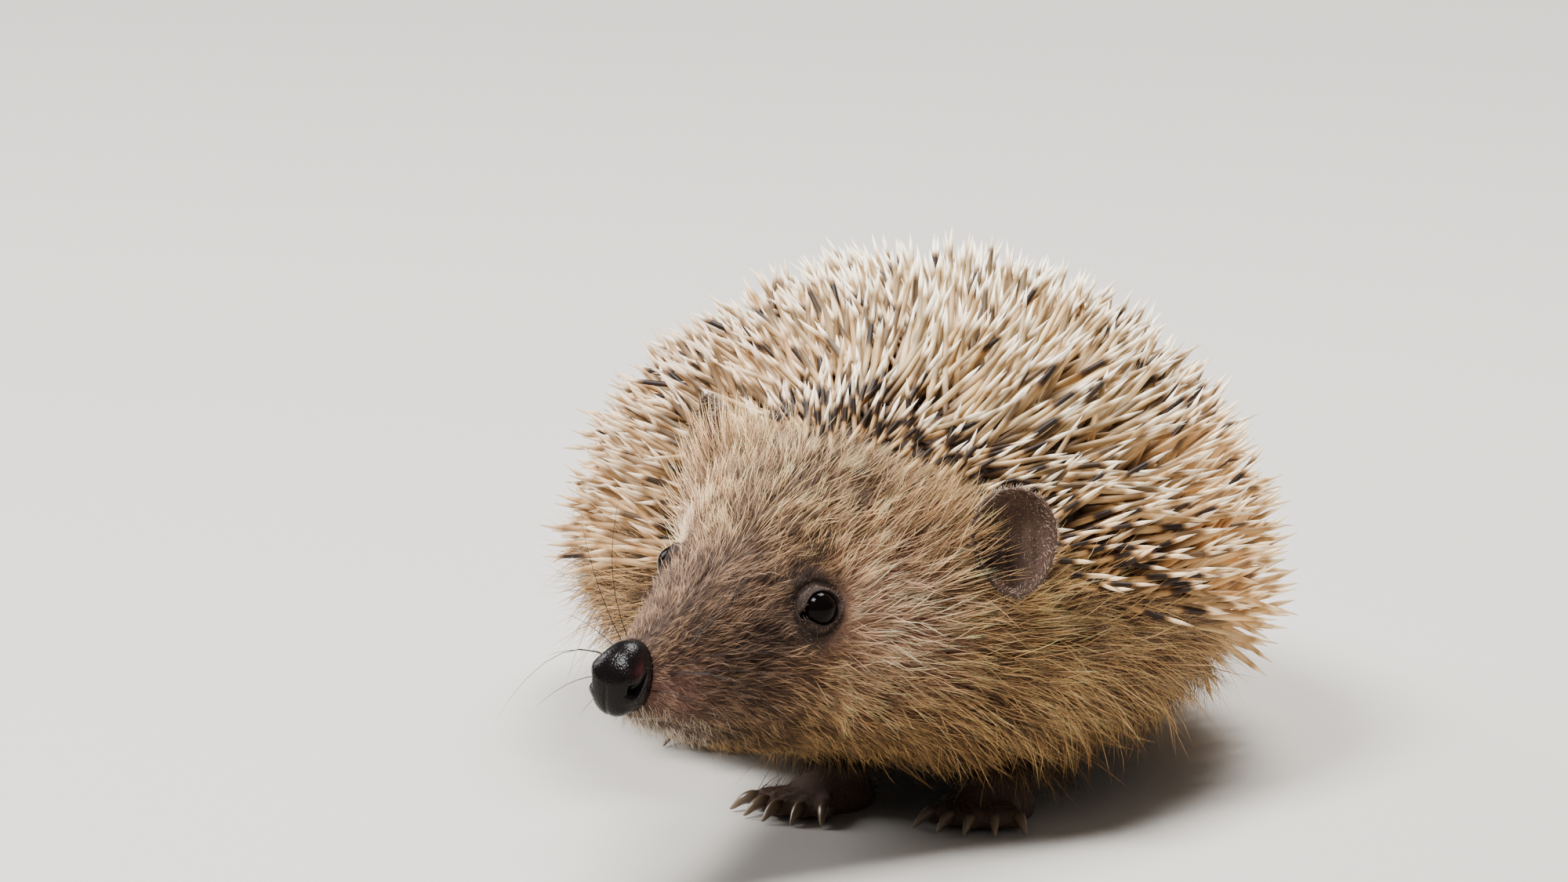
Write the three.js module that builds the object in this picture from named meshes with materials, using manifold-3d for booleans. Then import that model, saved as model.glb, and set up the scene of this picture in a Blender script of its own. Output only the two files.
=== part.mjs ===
// A young European hedgehog, standing low on all four feet, with its head turned to its right.
// Millimetres, +Z up, floor at z = 0. The middle of the trunk faces -Y, so +X is the animal's left.
//
// The body is one long form of upright cross-sections, strung on a line that bends from the
// nose to the rump. Thin cuts part it into head, lower jaw, neck, trunk and spiny back, and
// the outer surface is that of the coat: fur on the lower parts, spine tips on the back.
import * as THREE from "three";
import { mergeVertices } from "three/addons/utils/BufferGeometryUtils.js";
import Module from "manifold-3d";

const wasm = await Module();
wasm.setup();
const radians = THREE.MathUtils.degToRad;

// ---- driving dimensions -------------------------------------------------------------

const GAP = 0.3; // between neighbouring pieces
const ROUND = 24; // points round a slice of the body
const ARC = 21; // points over a slice of the spiny back
const EYE_AT = 29.4; // behind the nose tip
const EAR_AT = 52.8;
const HEAD_ROLL = 8; // degrees, the left side of the head lower
const ROLL_ENDS_AT = 92;

// Which way the animal faces at a distance behind the nose tip: degrees to its right of -Y.
const HEADINGS = [
  { at: 0, turn: 49 },
  { at: 56, turn: 49 },
  { at: 70, turn: 38 },
  { at: 85, turn: 21 },
  { at: 100, turn: 8 },
  { at: 115, turn: 1 },
  { at: 130, turn: -3 },
  { at: 150, turn: -7 },
  { at: 185, turn: -12 },
];

// Cross-sections of the body itself, without its coat. half is half the width; top, wide and
// low are the heights of the crest, of the widest level and of the underside; fur and spines
// are the depths of the two coats; edge is the height of the line where the spines end.
const SECTIONS = [
  { at: 2.5, half: 3.2, top: 33.8, wide: 30.4, low: 26.0, fur: 0.4, spines: 0, edge: 60 },
  { at: 8, half: 4.7, top: 35.6, wide: 30.6, low: 23.2, fur: 0.6, spines: 0, edge: 60 },
  { at: 14, half: 6.4, top: 37.9, wide: 31.2, low: 20.8, fur: 0.7, spines: 0, edge: 60 },
  { at: 20, half: 8.4, top: 40.8, wide: 32.2, low: 18.8, fur: 0.8, spines: 0, edge: 60 },
  { at: 29, half: 12.4, top: 45.4, wide: 33.4, low: 16.6, fur: 1.1, spines: 0, edge: 60 },
  { at: 38, half: 15.6, top: 49.4, wide: 33.4, low: 15.2, fur: 2.4, spines: 0, edge: 60 },
  { at: 48, half: 20.6, top: 52.6, wide: 32.0, low: 13.8, fur: 3.6, spines: 5.2, edge: 54.4 },
  { at: 57, half: 23.6, top: 54.6, wide: 29.6, low: 12.4, fur: 4.6, spines: 8.4, edge: 49 },
  { at: 68, half: 26.4, top: 56.4, wide: 26.4, low: 11.4, fur: 5.4, spines: 11.2, edge: 38.5 },
  { at: 82, half: 31.0, top: 57.6, wide: 23.0, low: 10.4, fur: 6.4, spines: 12.0, edge: 25 },
  { at: 98, half: 36.0, top: 57.2, wide: 20.5, low: 10.0, fur: 7.0, spines: 12.0, edge: 17.5 },
  { at: 112, half: 37.6, top: 55.4, wide: 19.0, low: 10.0, fur: 7.0, spines: 12.0, edge: 14 },
];
const TOP_SQUARENESS = 1.92; // exponent of the superellipse above the widest level
const LOW_SQUARENESS = 2.3; // and below it

// Behind the last row the body rounds off to the rump. Seen from above it stays full for
// longer than seen from the side, so the two outlines have exponents of their own.
const RUMP = { from: 112, length: 56, plan: 2.6, profile: 1.6, edgeRise: 2 };

const HEAD_FROM = 3.2;
const NECK_FROM = 62;
const TRUNK_FROM = 79;
const BACK_FROM = 49;

const NOSE = { from: -1.5, to: 4.4, half: 3.5, up: 4.3, down: 4.6, height: 30.3, fullAt: 0.5 };
const NOSTRIL = { radius: 1.25, behind: 1.9, out: 3.4, height: 29.8 };
const MOUTH = { from: 9, corner: 26, lip: 24.2, cornerHeight: 22.6 };
const EYE = { radius: 2.55, height: 37.4, stand: 1.7, dish: 3.9, dishOut: 3.3, dishAhead: 0.8 };
const EAR = { half: 5.8, tall: 7.8, deep: 3.0, wall: 1.2, height: 44.6, out: 24.2, splay: 44, lean: 14 };
const TAIL = { length: 18, radius: 2.8, at: 160, height: 14.4, droop: 22 };

// Legs: the shoulder or hip as a distance along the body, out to the side, and a height. The
// knee lies midway and ahead (or the elbow behind), and the ankle behind the foot's middle.
const FORELEG = { at: 78, out: 16, height: 22, thick: 7.2, bend: -3, ankle: 4.6, ankleBehind: 2.2 };
const HINDLEG = { at: 139, out: 24, height: 21, thick: 8.6, bend: 5, ankle: 4.8, ankleBehind: 5.5 };
const ANKLE_HEIGHT = 5;

// Feet: high is from the widest level of the foot, SOLE_SINK above the floor, to its top.
const FORE_FOOT = { length: 14.5, width: 11, high: 4.2, toe: 4.6, claw: 3.2 };
const HIND_FOOT = { length: 22, width: 10.6, high: 4.4, toe: 4.4, claw: 3.4 };
const SOLE_SINK = 1.2;
const TOES = 5;
const TOE_FAN = 34; // degrees between the middle toe and an outer one
const TOE_THICK = 1.45; // radius
const CLAW_THICK = 0.8; // radius at its root
const CLAW_TIP = { height: 0.75, radius: 0.3 };

// Where each foot stands: a distance along the body, out to its left, and a turn outwards.
const STANCE = {
  foreleg_left: { at: 70, out: 11.5, turn: 6 },
  foreleg_right: { at: 66, out: -10.5, turn: -12 },
  hindleg_left: { at: 132, out: 25, turn: 12 },
  hindleg_right: { at: 126, out: -25, turn: -12 },
};

const LOOKS = {
  fur: { color: 0x8a6f58, roughness: 0.85, metalness: 0 },
  spines: { color: 0xb9a181, roughness: 0.6, metalness: 0 },
  skin: { color: 0x3d302b, roughness: 0.7, metalness: 0 },
  nose: { color: 0x17120f, roughness: 0.2, metalness: 0 },
  eye: { color: 0x0a0807, roughness: 0.05, metalness: 0 },
};

// ---- curves -------------------------------------------------------------------------

// The value of one column of a table at a distance along the body, on a smooth curve that
// passes through every row and never swings past two rows that are level (Fritsch-Carlson).
function along(table, key, at) {
  const x = table.map((row) => row.at);
  const y = table.map((row) => row[key]);
  const last = x.length - 1;
  if (at <= x[0]) return y[0];
  if (at >= x[last]) return y[last];
  const slope = (i) => (y[i + 1] - y[i]) / (x[i + 1] - x[i]);
  const tangent = (i) => {
    if (i === 0) return slope(0);
    if (i === last) return slope(last - 1);
    const [before, after] = [slope(i - 1), slope(i)];
    return before * after <= 0 ? 0 : (2 * before * after) / (before + after);
  };
  const i = x.findIndex((value) => value > at) - 1;
  const step = x[i + 1] - x[i];
  const t = (at - x[i]) / step;
  const [t2, t3] = [t * t, t * t * t];
  return (
    (2 * t3 - 3 * t2 + 1) * y[i] +
    (t3 - 2 * t2 + t) * step * tangent(i) +
    (3 * t2 - 2 * t3) * y[i + 1] +
    (t3 - t2) * step * tangent(i + 1)
  );
}

const heading = (at) => radians(along(HEADINGS, "turn", at));

// The bent line on the floor under the body, summed backwards from the nose tip.
function lineAt(at) {
  const steps = Math.max(1, Math.ceil(Math.abs(at)));
  const step = at / steps;
  const point = new THREE.Vector3();
  for (let i = 0; i < steps; i++) {
    const turn = heading((i + 0.5) * step);
    point.x += Math.sin(turn) * step;
    point.y += Math.cos(turn) * step;
  }
  return point;
}

const leftAt = (at) => new THREE.Vector3(Math.cos(heading(at)), -Math.sin(heading(at)), 0);
const forwardAt = (at) => new THREE.Vector3(-Math.sin(heading(at)), -Math.cos(heading(at)), 0);

function rollAt(at) {
  return radians(HEAD_ROLL) * (1 - THREE.MathUtils.smoothstep(at, EAR_AT, ROLL_ENDS_AT));
}

// A slice of the body: its section, its place along the line, and its lean to the rear.
function sliceAt(at) {
  const keys = ["half", "top", "wide", "low", "fur", "spines", "edge"];
  return { at, lean: 0, ...Object.fromEntries(keys.map((key) => [key, along(SECTIONS, key, at)])) };
}

// A slice of the rump, by its turn from upright (0) towards facing straight back (90).
function rumpSlice(turn) {
  const last = sliceAt(RUMP.from);
  const share = Math.sin(radians(turn));
  const left = (exponent) => (1 - share ** exponent) ** (1 / exponent);
  return {
    ...last,
    at: RUMP.from + RUMP.length * share,
    lean: radians(turn),
    half: last.half * left(RUMP.plan),
    top: last.wide + (last.top - last.wide) * left(RUMP.profile),
    low: last.wide - (last.wide - last.low) * left(RUMP.plan),
    edge: last.edge + RUMP.edgeRise * (1 - left(RUMP.plan)),
  };
}

// A point given by its distance along the body, out to the left, and height, after the roll.
function place(at, out, height) {
  const roll = rollAt(at);
  const pivot = along(SECTIONS, "wide", at);
  const up = height - pivot;
  const point = lineAt(at).addScaledVector(leftAt(at), out * Math.cos(roll) + up * Math.sin(roll));
  point.z = pivot + up * Math.cos(roll) - out * Math.sin(roll);
  return point;
}

// ---- closed surfaces ----------------------------------------------------------------

const power = (value, exponent) => Math.sign(value) * Math.abs(value) ** exponent;

// A point on a slice grown by a coat, by its angle from the left. The coat stands square to
// the surface, so where the slice leans to the rear, part of its depth goes that way.
function onSlice(slice, coat, angle) {
  const squareness = 2 / (Math.sin(angle) >= 0 ? TOP_SQUARENESS : LOW_SQUARENESS);
  const reach = Math.sin(angle) >= 0 ? slice.top - slice.wide : slice.wide - slice.low;
  const sideways = coat * Math.cos(slice.lean);
  return place(
    slice.at + coat * Math.sin(slice.lean),
    (slice.half + sideways) * power(Math.cos(angle), squareness),
    slice.wide + (reach + sideways) * power(Math.sin(angle), squareness),
  );
}

// The angle at which a grown slice reaches a height, kept off the very top and bottom.
function angleAtHeight(slice, coat, height) {
  const above = height >= slice.wide;
  const reach = (above ? slice.top - slice.wide : slice.wide - slice.low) + coat * Math.cos(slice.lean);
  const share = THREE.MathUtils.clamp((height - slice.wide) / reach, -0.985, 0.985);
  return Math.asin(power(share, (above ? TOP_SQUARENESS : LOW_SQUARENESS) / 2));
}

function wholeRing(slice, coat, count) {
  return Array.from({ length: count }, (_, i) => onSlice(slice, coat, (2 * Math.PI * i) / count));
}

// The arc of a slice above a height; the straight line that shuts it is the spines' floor.
function arcRing(slice, coat, height, count) {
  const from = angleAtHeight(slice, coat, height);
  const sweep = Math.PI - 2 * from;
  return Array.from({ length: count }, (_, i) => onSlice(slice, coat, from + (sweep * i) / (count - 1)));
}

// A solid through a row of closed rings of equally many points, with a fan over each end.
function loft(rings) {
  const count = rings[0].length;
  const middle = (points) =>
    points.reduce((sum, p) => sum.add(p), new THREE.Vector3()).divideScalar(points.length);
  const points = [...rings.flat(), middle(rings[0]), middle(rings[rings.length - 1])];
  const index = [];
  for (let r = 0; r + 1 < rings.length; r++) {
    for (let i = 0; i < count; i++) {
      const j = (i + 1) % count;
      const [a, b, c, d] = [r * count + i, r * count + j, (r + 1) * count + j, (r + 1) * count + i];
      index.push(a, b, c, a, c, d);
    }
  }
  const [first, last, base] = [points.length - 2, points.length - 1, (rings.length - 1) * count];
  for (let i = 0; i < count; i++) {
    const j = (i + 1) % count;
    index.push(first, j, i, last, base + i, base + j);
  }
  const geometry = new THREE.BufferGeometry().setFromPoints(points);
  geometry.setIndex(index);
  return solid(geometry);
}

// A three.js geometry as a manifold-3d solid, turned right side out.
function solid(geometry, matrix = new THREE.Matrix4()) {
  const bare = geometry.clone().applyMatrix4(matrix);
  bare.deleteAttribute("normal");
  bare.deleteAttribute("uv");
  const merged = mergeVertices(bare, 1e-4);
  const indices = [...merged.index.array];
  const triangles = [];
  for (let i = 0; i < indices.length; i += 3) {
    const [a, b, c] = indices.slice(i, i + 3);
    if (a !== b && b !== c && c !== a) triangles.push(a, b, c);
  }
  const build = (triVerts) =>
    new wasm.Manifold(
      new wasm.Mesh({
        numProp: 3,
        vertProperties: merged.attributes.position.array,
        triVerts: new Uint32Array(triVerts),
      }),
    );
  const made = build(triangles);
  return made.volume() > 0 ? made : build(triangles.reverse());
}

// The largest body of a solid, so that a cut leaves no crumbs.
const largest = (shape) =>
  shape.decompose().reduce((best, body) => (body.volume() > best.volume() ? body : best));

const cutBy = (shape, ...others) => largest(others.reduce((rest, other) => rest.subtract(other), shape));
const join = (shapes) => shapes.reduce((sum, shape) => sum.add(shape));

function meshOf(name, shape, look) {
  const made = shape.getMesh();
  const geometry = new THREE.BufferGeometry();
  const position = new Float32Array(made.numVert * 3);
  for (let i = 0; i < made.numVert; i++) {
    position.set(made.vertProperties.subarray(i * made.numProp, i * made.numProp + 3), i * 3);
  }
  geometry.setAttribute("position", new THREE.BufferAttribute(position, 3));
  geometry.setIndex(new THREE.BufferAttribute(new Uint32Array(made.triVerts), 1));
  geometry.computeVertexNormals();
  const mesh = new THREE.Mesh(geometry, new THREE.MeshStandardMaterial(LOOKS[look]));
  mesh.name = name;
  return mesh;
}

// ---- the trunk, neck and head -------------------------------------------------------

// Evenly spaced distances along the body, both ends counted.
function stations(from, to, count) {
  return Array.from({ length: count }, (_, i) => from + ((to - from) * i) / (count - 1));
}

const RUMP_SLICES = [8, 16, 24, 32, 40, 49, 58, 67, 76, 84].map(rumpSlice);

// The fur-covered body between two distances, grown by a margin where it cuts something.
function furred(from, to, count, margin = 0) {
  const slices = stations(from, to, count).map(sliceAt);
  if (to === RUMP.from) slices.push(...RUMP_SLICES);
  return loft(slices.map((slice) => wholeRing(slice, slice.fur + margin, ROUND)));
}

// The part that carries the spines, out to their tips. Its slices lie closer together in
// front, where the spine line climbs steeply over the forehead.
function spinyBack(margin = 0) {
  const from = BACK_FROM - margin;
  const slices = stations(0, 1, 16).map((share) => sliceAt(from + (RUMP.from - from) * share ** 1.4));
  slices.push(...RUMP_SLICES);
  return loft(slices.map((slice) => arcRing(slice, slice.spines + margin, slice.edge - margin, ARC)));
}

// Everything between two distances, across the whole width, from one height up or down.
function slab(from, to, heightFrom, heightTo, direction) {
  const wide = 60;
  const corners = (at, height) => [
    place(at, -wide, height),
    place(at, wide, height),
    place(at, wide, height + direction * wide),
    place(at, -wide, height + direction * wide),
  ];
  return loft([corners(from, heightFrom), corners(to, heightTo)]);
}

// ---- nose, eyes and ears ------------------------------------------------------------

// The bare nose pad: oval cross-sections that swell quickly from the front, then stay full.
function nosePad(margin = 0) {
  const around = 16;
  const rings = stations(0.04, 1, 7).map((share) => {
    const at = NOSE.from + (NOSE.to - NOSE.from) * share;
    const full = Math.sqrt(1 - Math.max(0, 1 - share / NOSE.fullAt) ** 2);
    return Array.from({ length: around }, (_, i) => {
      const angle = (2 * Math.PI * i) / around;
      const reach = Math.sin(angle) > 0 ? NOSE.up : NOSE.down;
      const out = (NOSE.half * full + margin) * Math.cos(angle);
      return place(at, out, NOSE.height + (reach * full + margin) * Math.sin(angle));
    });
  });
  return loft(rings);
}

function ball(centre, radius, around = 16, over = 10) {
  const geometry = new THREE.SphereGeometry(radius, around, over);
  return solid(geometry, new THREE.Matrix4().makeTranslation(centre.x, centre.y, centre.z));
}

const nostril = (side) =>
  ball(place(NOSE.from + NOSTRIL.behind, side * NOSTRIL.out, NOSTRIL.height), NOSTRIL.radius, 10, 6);

// The eyeball's centre: on the section at the eye's height, sunk until the stand is left over.
function eyeCentre(side) {
  const slice = sliceAt(EYE_AT);
  const out = slice.half * power(Math.cos(angleAtHeight(slice, 0, EYE.height)), 2 / TOP_SQUARENESS);
  return place(EYE_AT, side * (out + EYE.stand - EYE.radius), EYE.height);
}

// The socket: room for the eyeball, opening outwards into a shallow dish in the fur.
function eyeSocket(side) {
  const centre = eyeCentre(side);
  const dish = centre.clone().addScaledVector(leftAt(EYE_AT), side * EYE.dishOut);
  dish.addScaledVector(forwardAt(EYE_AT), EYE.dishAhead);
  return ball(centre, EYE.radius + GAP).add(ball(dish, EYE.dish));
}

// The ear: half an egg-shaped shell, set on edge beside the head with its hollow in front.
function ear(side) {
  const egg = new THREE.SphereGeometry(1, 16, 12);
  const frame = new THREE.Matrix4()
    .setPosition(place(EAR_AT, side * EAR.out, EAR.height))
    .multiply(new THREE.Matrix4().makeRotationZ(side * radians(EAR.splay) - heading(EAR_AT)))
    .multiply(new THREE.Matrix4().makeRotationX(radians(-EAR.lean)));
  const sized = (geometry, ahead, thinner) =>
    solid(
      geometry,
      frame
        .clone()
        .multiply(new THREE.Matrix4().makeTranslation(0, -ahead, 0))
        .multiply(new THREE.Matrix4().makeScale(EAR.half - thinner, EAR.deep, EAR.tall - thinner)),
    );
  const front = new THREE.BoxGeometry(4, 4, 4).translate(0, -2, 0);
  return sized(egg, 0, 0).subtract(sized(egg, EAR.wall, EAR.wall / 3)).subtract(sized(front, EAR.deep, 0));
}

// ---- legs, feet and tail ------------------------------------------------------------

// A round limb between points, each with its radius, as rings set across the way it runs.
function limb(knots, around) {
  const rings = knots.map(({ point, radius }, i) => {
    const before = knots[Math.max(0, i - 1)].point;
    const after = knots[Math.min(knots.length - 1, i + 1)].point;
    const turn = new THREE.Quaternion().setFromUnitVectors(
      new THREE.Vector3(0, 0, 1),
      after.clone().sub(before).normalize(),
    );
    return Array.from({ length: around }, (_, k) => {
      const angle = (2 * Math.PI * k) / around;
      return new THREE.Vector3(Math.cos(angle), Math.sin(angle), 0)
        .multiplyScalar(radius)
        .applyQuaternion(turn)
        .add(point);
    });
  });
  return loft(rings);
}

// The floor frame of a foot: its origin under the foot's middle, with -Y towards the toes.
function footFrame(name) {
  const { at, out, turn } = STANCE[name];
  const origin = lineAt(at).addScaledVector(leftAt(at), out);
  return new THREE.Matrix4().makeRotationZ(radians(turn) - heading(at)).setPosition(origin);
}

// One toe with its claw: straight, flat on the floor, and turned out by its share of the fan.
function toe(frame, size, spread, margin) {
  const turn = radians(spread * TOE_FAN);
  const ahead = new THREE.Vector3(Math.sin(turn), -Math.cos(turn), 0);
  const back = size.length * (0.38 - 0.1 * Math.abs(spread));
  const root = new THREE.Vector3(spread * size.width * 0.3, -back, 0);
  const knots = [
    [0, TOE_THICK, TOE_THICK + 0.6],
    [size.toe * 0.8, TOE_THICK, TOE_THICK + 0.3],
    [size.toe, CLAW_THICK, TOE_THICK + 0.1],
    [size.toe + size.claw, CLAW_TIP.radius, CLAW_TIP.height],
  ].map(([far, radius, height]) => ({
    point: root.clone().addScaledVector(ahead, far).setZ(height).applyMatrix4(frame),
    radius: radius + margin,
  }));
  return limb(knots, 7);
}

// A flat-soled foot: a low oval pad and a fan of toes, cut off level with the floor.
function foot(name, size, margin = 0) {
  const frame = footFrame(name);
  const radii = [size.width / 2, size.length / 2, size.high].map((radius) => radius + margin);
  const pad = frame
    .clone()
    .multiply(new THREE.Matrix4().makeTranslation(0, size.length * 0.06, SOLE_SINK))
    .multiply(new THREE.Matrix4().makeScale(...radii));
  const toes = stations(-1, 1, TOES).map((spread) => toe(frame, size, spread, margin));
  const below = new THREE.BoxGeometry(400, 400, 20).translate(0, 0, -10);
  return join([solid(new THREE.SphereGeometry(1, 14, 8), pad), ...toes]).subtract(solid(below));
}

// A leg from the shoulder or hip through the elbow or knee to the ankle and into the foot.
function leg(name, size, side) {
  const hip = place(size.at, side * size.out, size.height);
  const ankle = new THREE.Vector3(0, size.ankleBehind, ANKLE_HEIGHT).applyMatrix4(footFrame(name));
  const knee = hip.clone().lerp(ankle, 0.5).addScaledVector(forwardAt(size.at), size.bend);
  const knots = [
    { point: hip, radius: size.thick },
    { point: hip.clone().lerp(knee, 0.6), radius: size.thick },
    { point: knee, radius: size.thick * 0.86 },
    { point: knee.clone().lerp(ankle, 0.55), radius: size.ankle * 1.12 },
    { point: ankle, radius: size.ankle },
    { point: ankle.clone().setZ(ANKLE_HEIGHT / 2), radius: size.ankle * 0.8 },
  ];
  return limb(knots, 12);
}

// The short tail, drooping straight back and tapering to a blunt tip.
function tail() {
  const back = forwardAt(TAIL.at).multiplyScalar(-Math.cos(radians(TAIL.droop)));
  back.z = -Math.sin(radians(TAIL.droop));
  const root = place(TAIL.at, 0, TAIL.height);
  const taper = [
    [0, 1],
    [0.4, 0.92],
    [0.75, 0.72],
    [0.93, 0.42],
    [1, 0.15],
  ];
  const knots = taper.map(([share, thick]) => ({
    point: root.clone().addScaledVector(back, TAIL.length * share),
    radius: TAIL.radius * thick,
  }));
  return limb(knots, 10);
}

// ---- assembly -----------------------------------------------------------------------

const SIDES = [
  [1, "left"],
  [-1, "right"],
];
const group = new THREE.Group();
const add = (name, shape, look) => group.add(meshOf(name, shape, look));

const grownFeet = SIDES.flatMap(([, word]) => [
  foot(`foreleg_${word}`, FORE_FOOT, GAP),
  foot(`hindleg_${word}`, HIND_FOOT, GAP),
]);
const backCut = spinyBack(GAP);
const bodyCut = furred(20, RUMP.from, 20, GAP);
const eyeCuts = SIDES.map(([side]) => eyeSocket(side));
const jawSpace = (spare) =>
  slab(MOUTH.from, MOUTH.corner + spare, MOUTH.lip + spare, MOUTH.cornerHeight + spare, -1);

const wholeHead = cutBy(furred(HEAD_FROM, NECK_FROM, 18), backCut, nosePad(GAP), ...eyeCuts);
add("head", cutBy(wholeHead, jawSpace(GAP / 2)), "fur");
add("lower_jaw", largest(wholeHead.intersect(jawSpace(-GAP / 2))), "fur");
add("neck", cutBy(furred(NECK_FROM + GAP, TRUNK_FROM, 5), backCut, ...grownFeet), "fur");
add("trunk", cutBy(furred(TRUNK_FROM + GAP, RUMP.from, 8), backCut, ...grownFeet), "fur");
add("spiny_back", spinyBack(), "spines");

add("nose", cutBy(nosePad(), ...SIDES.map(([side]) => nostril(side))), "nose");
for (const [side, word] of SIDES) {
  add(`eye_${word}`, ball(eyeCentre(side), EYE.radius), "eye");
  add(`ear_${word}`, cutBy(ear(side), bodyCut, backCut), "skin");
  add(`forefoot_${word}`, foot(`foreleg_${word}`, FORE_FOOT), "skin");
  add(`hindfoot_${word}`, foot(`hindleg_${word}`, HIND_FOOT), "skin");
  add(`foreleg_${word}`, cutBy(leg(`foreleg_${word}`, FORELEG, side), bodyCut, ...grownFeet), "fur");
  add(`hindleg_${word}`, cutBy(leg(`hindleg_${word}`, HINDLEG, side), bodyCut, ...grownFeet), "fur");
}
add("tail", cutBy(tail(), bodyCut, backCut), "skin");

// The origin goes to the floor under the middle of the whole animal.
const box = new THREE.Box3().setFromObject(group);
const centre = box.getCenter(new THREE.Vector3());
group.position.set(-centre.x, -centre.y, -box.min.z);

export default group;
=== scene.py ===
"""A young European hedgehog, life-size, as a museum would mount it: skin, eyes, nose, fur and spines.

Everything is worked out in millimetres on the animal's own body plan: a bent line from the
nose to the rump, with a cross-section at each distance along it. Meshes are put down in metres.
"""

import bmesh
import bpy
import numpy as np
from bpy.props import FloatProperty, FloatVectorProperty, PointerProperty
from mathutils import Matrix, Vector


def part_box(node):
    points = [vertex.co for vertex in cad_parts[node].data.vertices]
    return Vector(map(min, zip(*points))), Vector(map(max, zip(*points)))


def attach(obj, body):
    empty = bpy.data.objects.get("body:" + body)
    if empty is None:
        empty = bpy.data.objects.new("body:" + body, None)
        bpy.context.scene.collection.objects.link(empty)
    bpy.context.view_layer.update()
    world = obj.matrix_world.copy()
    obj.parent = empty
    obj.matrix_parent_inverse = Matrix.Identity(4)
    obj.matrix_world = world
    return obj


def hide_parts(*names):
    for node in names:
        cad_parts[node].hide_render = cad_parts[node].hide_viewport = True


bl_info = {
    "name": "Hedgehog",
    "version": (1, 0, 0),
    "blender": (4, 5, 0),
    "location": "3D View > Sidebar > Hedgehog",
    "description": "A young hedgehog with a coat of fur and spines",
    "category": "Add Mesh",
}

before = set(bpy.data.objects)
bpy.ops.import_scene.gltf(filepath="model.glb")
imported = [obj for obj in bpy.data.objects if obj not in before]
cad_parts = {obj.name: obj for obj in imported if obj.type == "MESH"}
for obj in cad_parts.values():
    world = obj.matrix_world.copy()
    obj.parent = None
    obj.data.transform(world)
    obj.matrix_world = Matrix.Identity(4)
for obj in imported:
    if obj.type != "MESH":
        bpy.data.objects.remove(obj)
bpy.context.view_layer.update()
MM = 0.001

# ---- body plan, in millimetres ------------------------------------------------------

# Distance behind the nose tip, and degrees that the animal faces to its right of -Y there.
HEADINGS = np.array(
    [(0, 49), (56, 49), (70, 38), (85, 21), (100, 8), (115, 1), (130, -3), (150, -7), (185, -12)],
    float,
)

# Distance, half width, heights of the crest, the widest level and the underside, depth of the
# spines, and the height of the line where the spines end.
SECTIONS = np.array(
    [
        (2.5, 3.2, 33.8, 30.4, 26.0, 0, 60),
        (8, 4.7, 35.6, 30.6, 23.2, 0, 60),
        (14, 6.4, 37.9, 31.2, 20.8, 0, 60),
        (20, 8.4, 40.8, 32.2, 18.8, 0, 60),
        (29, 12.4, 45.4, 33.4, 16.6, 0, 60),
        (38, 15.6, 49.4, 33.4, 15.2, 0, 60),
        (48, 20.6, 52.6, 32.0, 13.8, 5.2, 54.4),
        (57, 23.6, 54.6, 29.6, 12.4, 8.4, 49),
        (68, 26.4, 56.4, 26.4, 11.4, 11.2, 38.5),
        (82, 31.0, 57.6, 23.0, 10.4, 12, 25),
        (98, 36.0, 57.2, 20.5, 10.0, 12, 17.5),
        (112, 37.6, 55.4, 19.0, 10.0, 12, 14),
    ],
    float,
)
HALF, TOP, WIDE, LOW, SPINES, EDGE = range(1, 7)
TOP_SQUARENESS, LOW_SQUARENESS = 1.92, 2.3
RUMP_FROM, RUMP_LENGTH, RUMP_PLAN, RUMP_PROFILE, RUMP_EDGE_RISE = 112, 56, 2.6, 1.6, 2
HEAD_ROLL, EAR_AT, ROLL_ENDS_AT = 8, 52.8, 92
EYE_AT, EYE_HEIGHT, EYE_RADIUS, EYE_STAND = 29.4, 37.4, 2.55, 1.7
NOSE = {"from": -1.5, "to": 4.4, "half": 3.5, "up": 4.9, "down": 4.6, "height": 30.3}
MOUTH = {"from": 7.5, "corner": 25, "lip": 24.4, "corner_height": 22.8}
EAR = {"half": 5.4, "tall": 6.9, "deep": 2.9, "height": 45.5, "out": 24.2, "splay": 44, "lean": 14}
TAIL = {"at": 160, "height": 14.4, "length": 18, "radius": 2.5, "droop": 22}

# Hip or shoulder: distance, out, height, radius and bend of the joint below; ankle radius and
# its distance behind the foot's middle; then where the foot stands, and its turn outwards.
LEGS = {
    "foreleg_left": (78, 16, 22, 6.6, -3, 4.0, 2.2, 70, 11.5, 6),
    "foreleg_right": (78, -16, 22, 6.6, -3, 4.0, 2.2, 66, -10.5, -12),
    "hindleg_left": (139, 24, 21, 8.0, 5, 4.2, 5.5, 132, 25, 12),
    "hindleg_right": (139, -24, 21, 8.0, 5, 4.2, 5.5, 126, -25, -12),
}
# Foot: length, width, height, toe and claw.
FEET = {"fore": (14.5, 11, 4.2, 4.6, 3.2), "hind": (22, 10.6, 4.4, 4.4, 3.4)}
ANKLE_HEIGHT, SOLE_SINK, TOE_FAN, TOE_THICK, CLAW_THICK = 5, 1.2, 34, 1.45, 0.8
CLAW_TIP_HEIGHT, CLAW_TIP_RADIUS = 0.75, 0.3
# Spines reach this far onto the brow, hairs stay this far above the floor, and each takes a
# patch this wide of the coat's map.
SPINES_AHEAD, FLOOR_GAP, PATCH = 4.5, 0.3, 0.003


def smoothstep(value, low, high):
    """0 below low, 1 above high, and 3t^2 - 2t^3 between them."""
    t = np.clip((value - low) / (high - low), 0, 1)
    return t * t * (3 - 2 * t)


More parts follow.
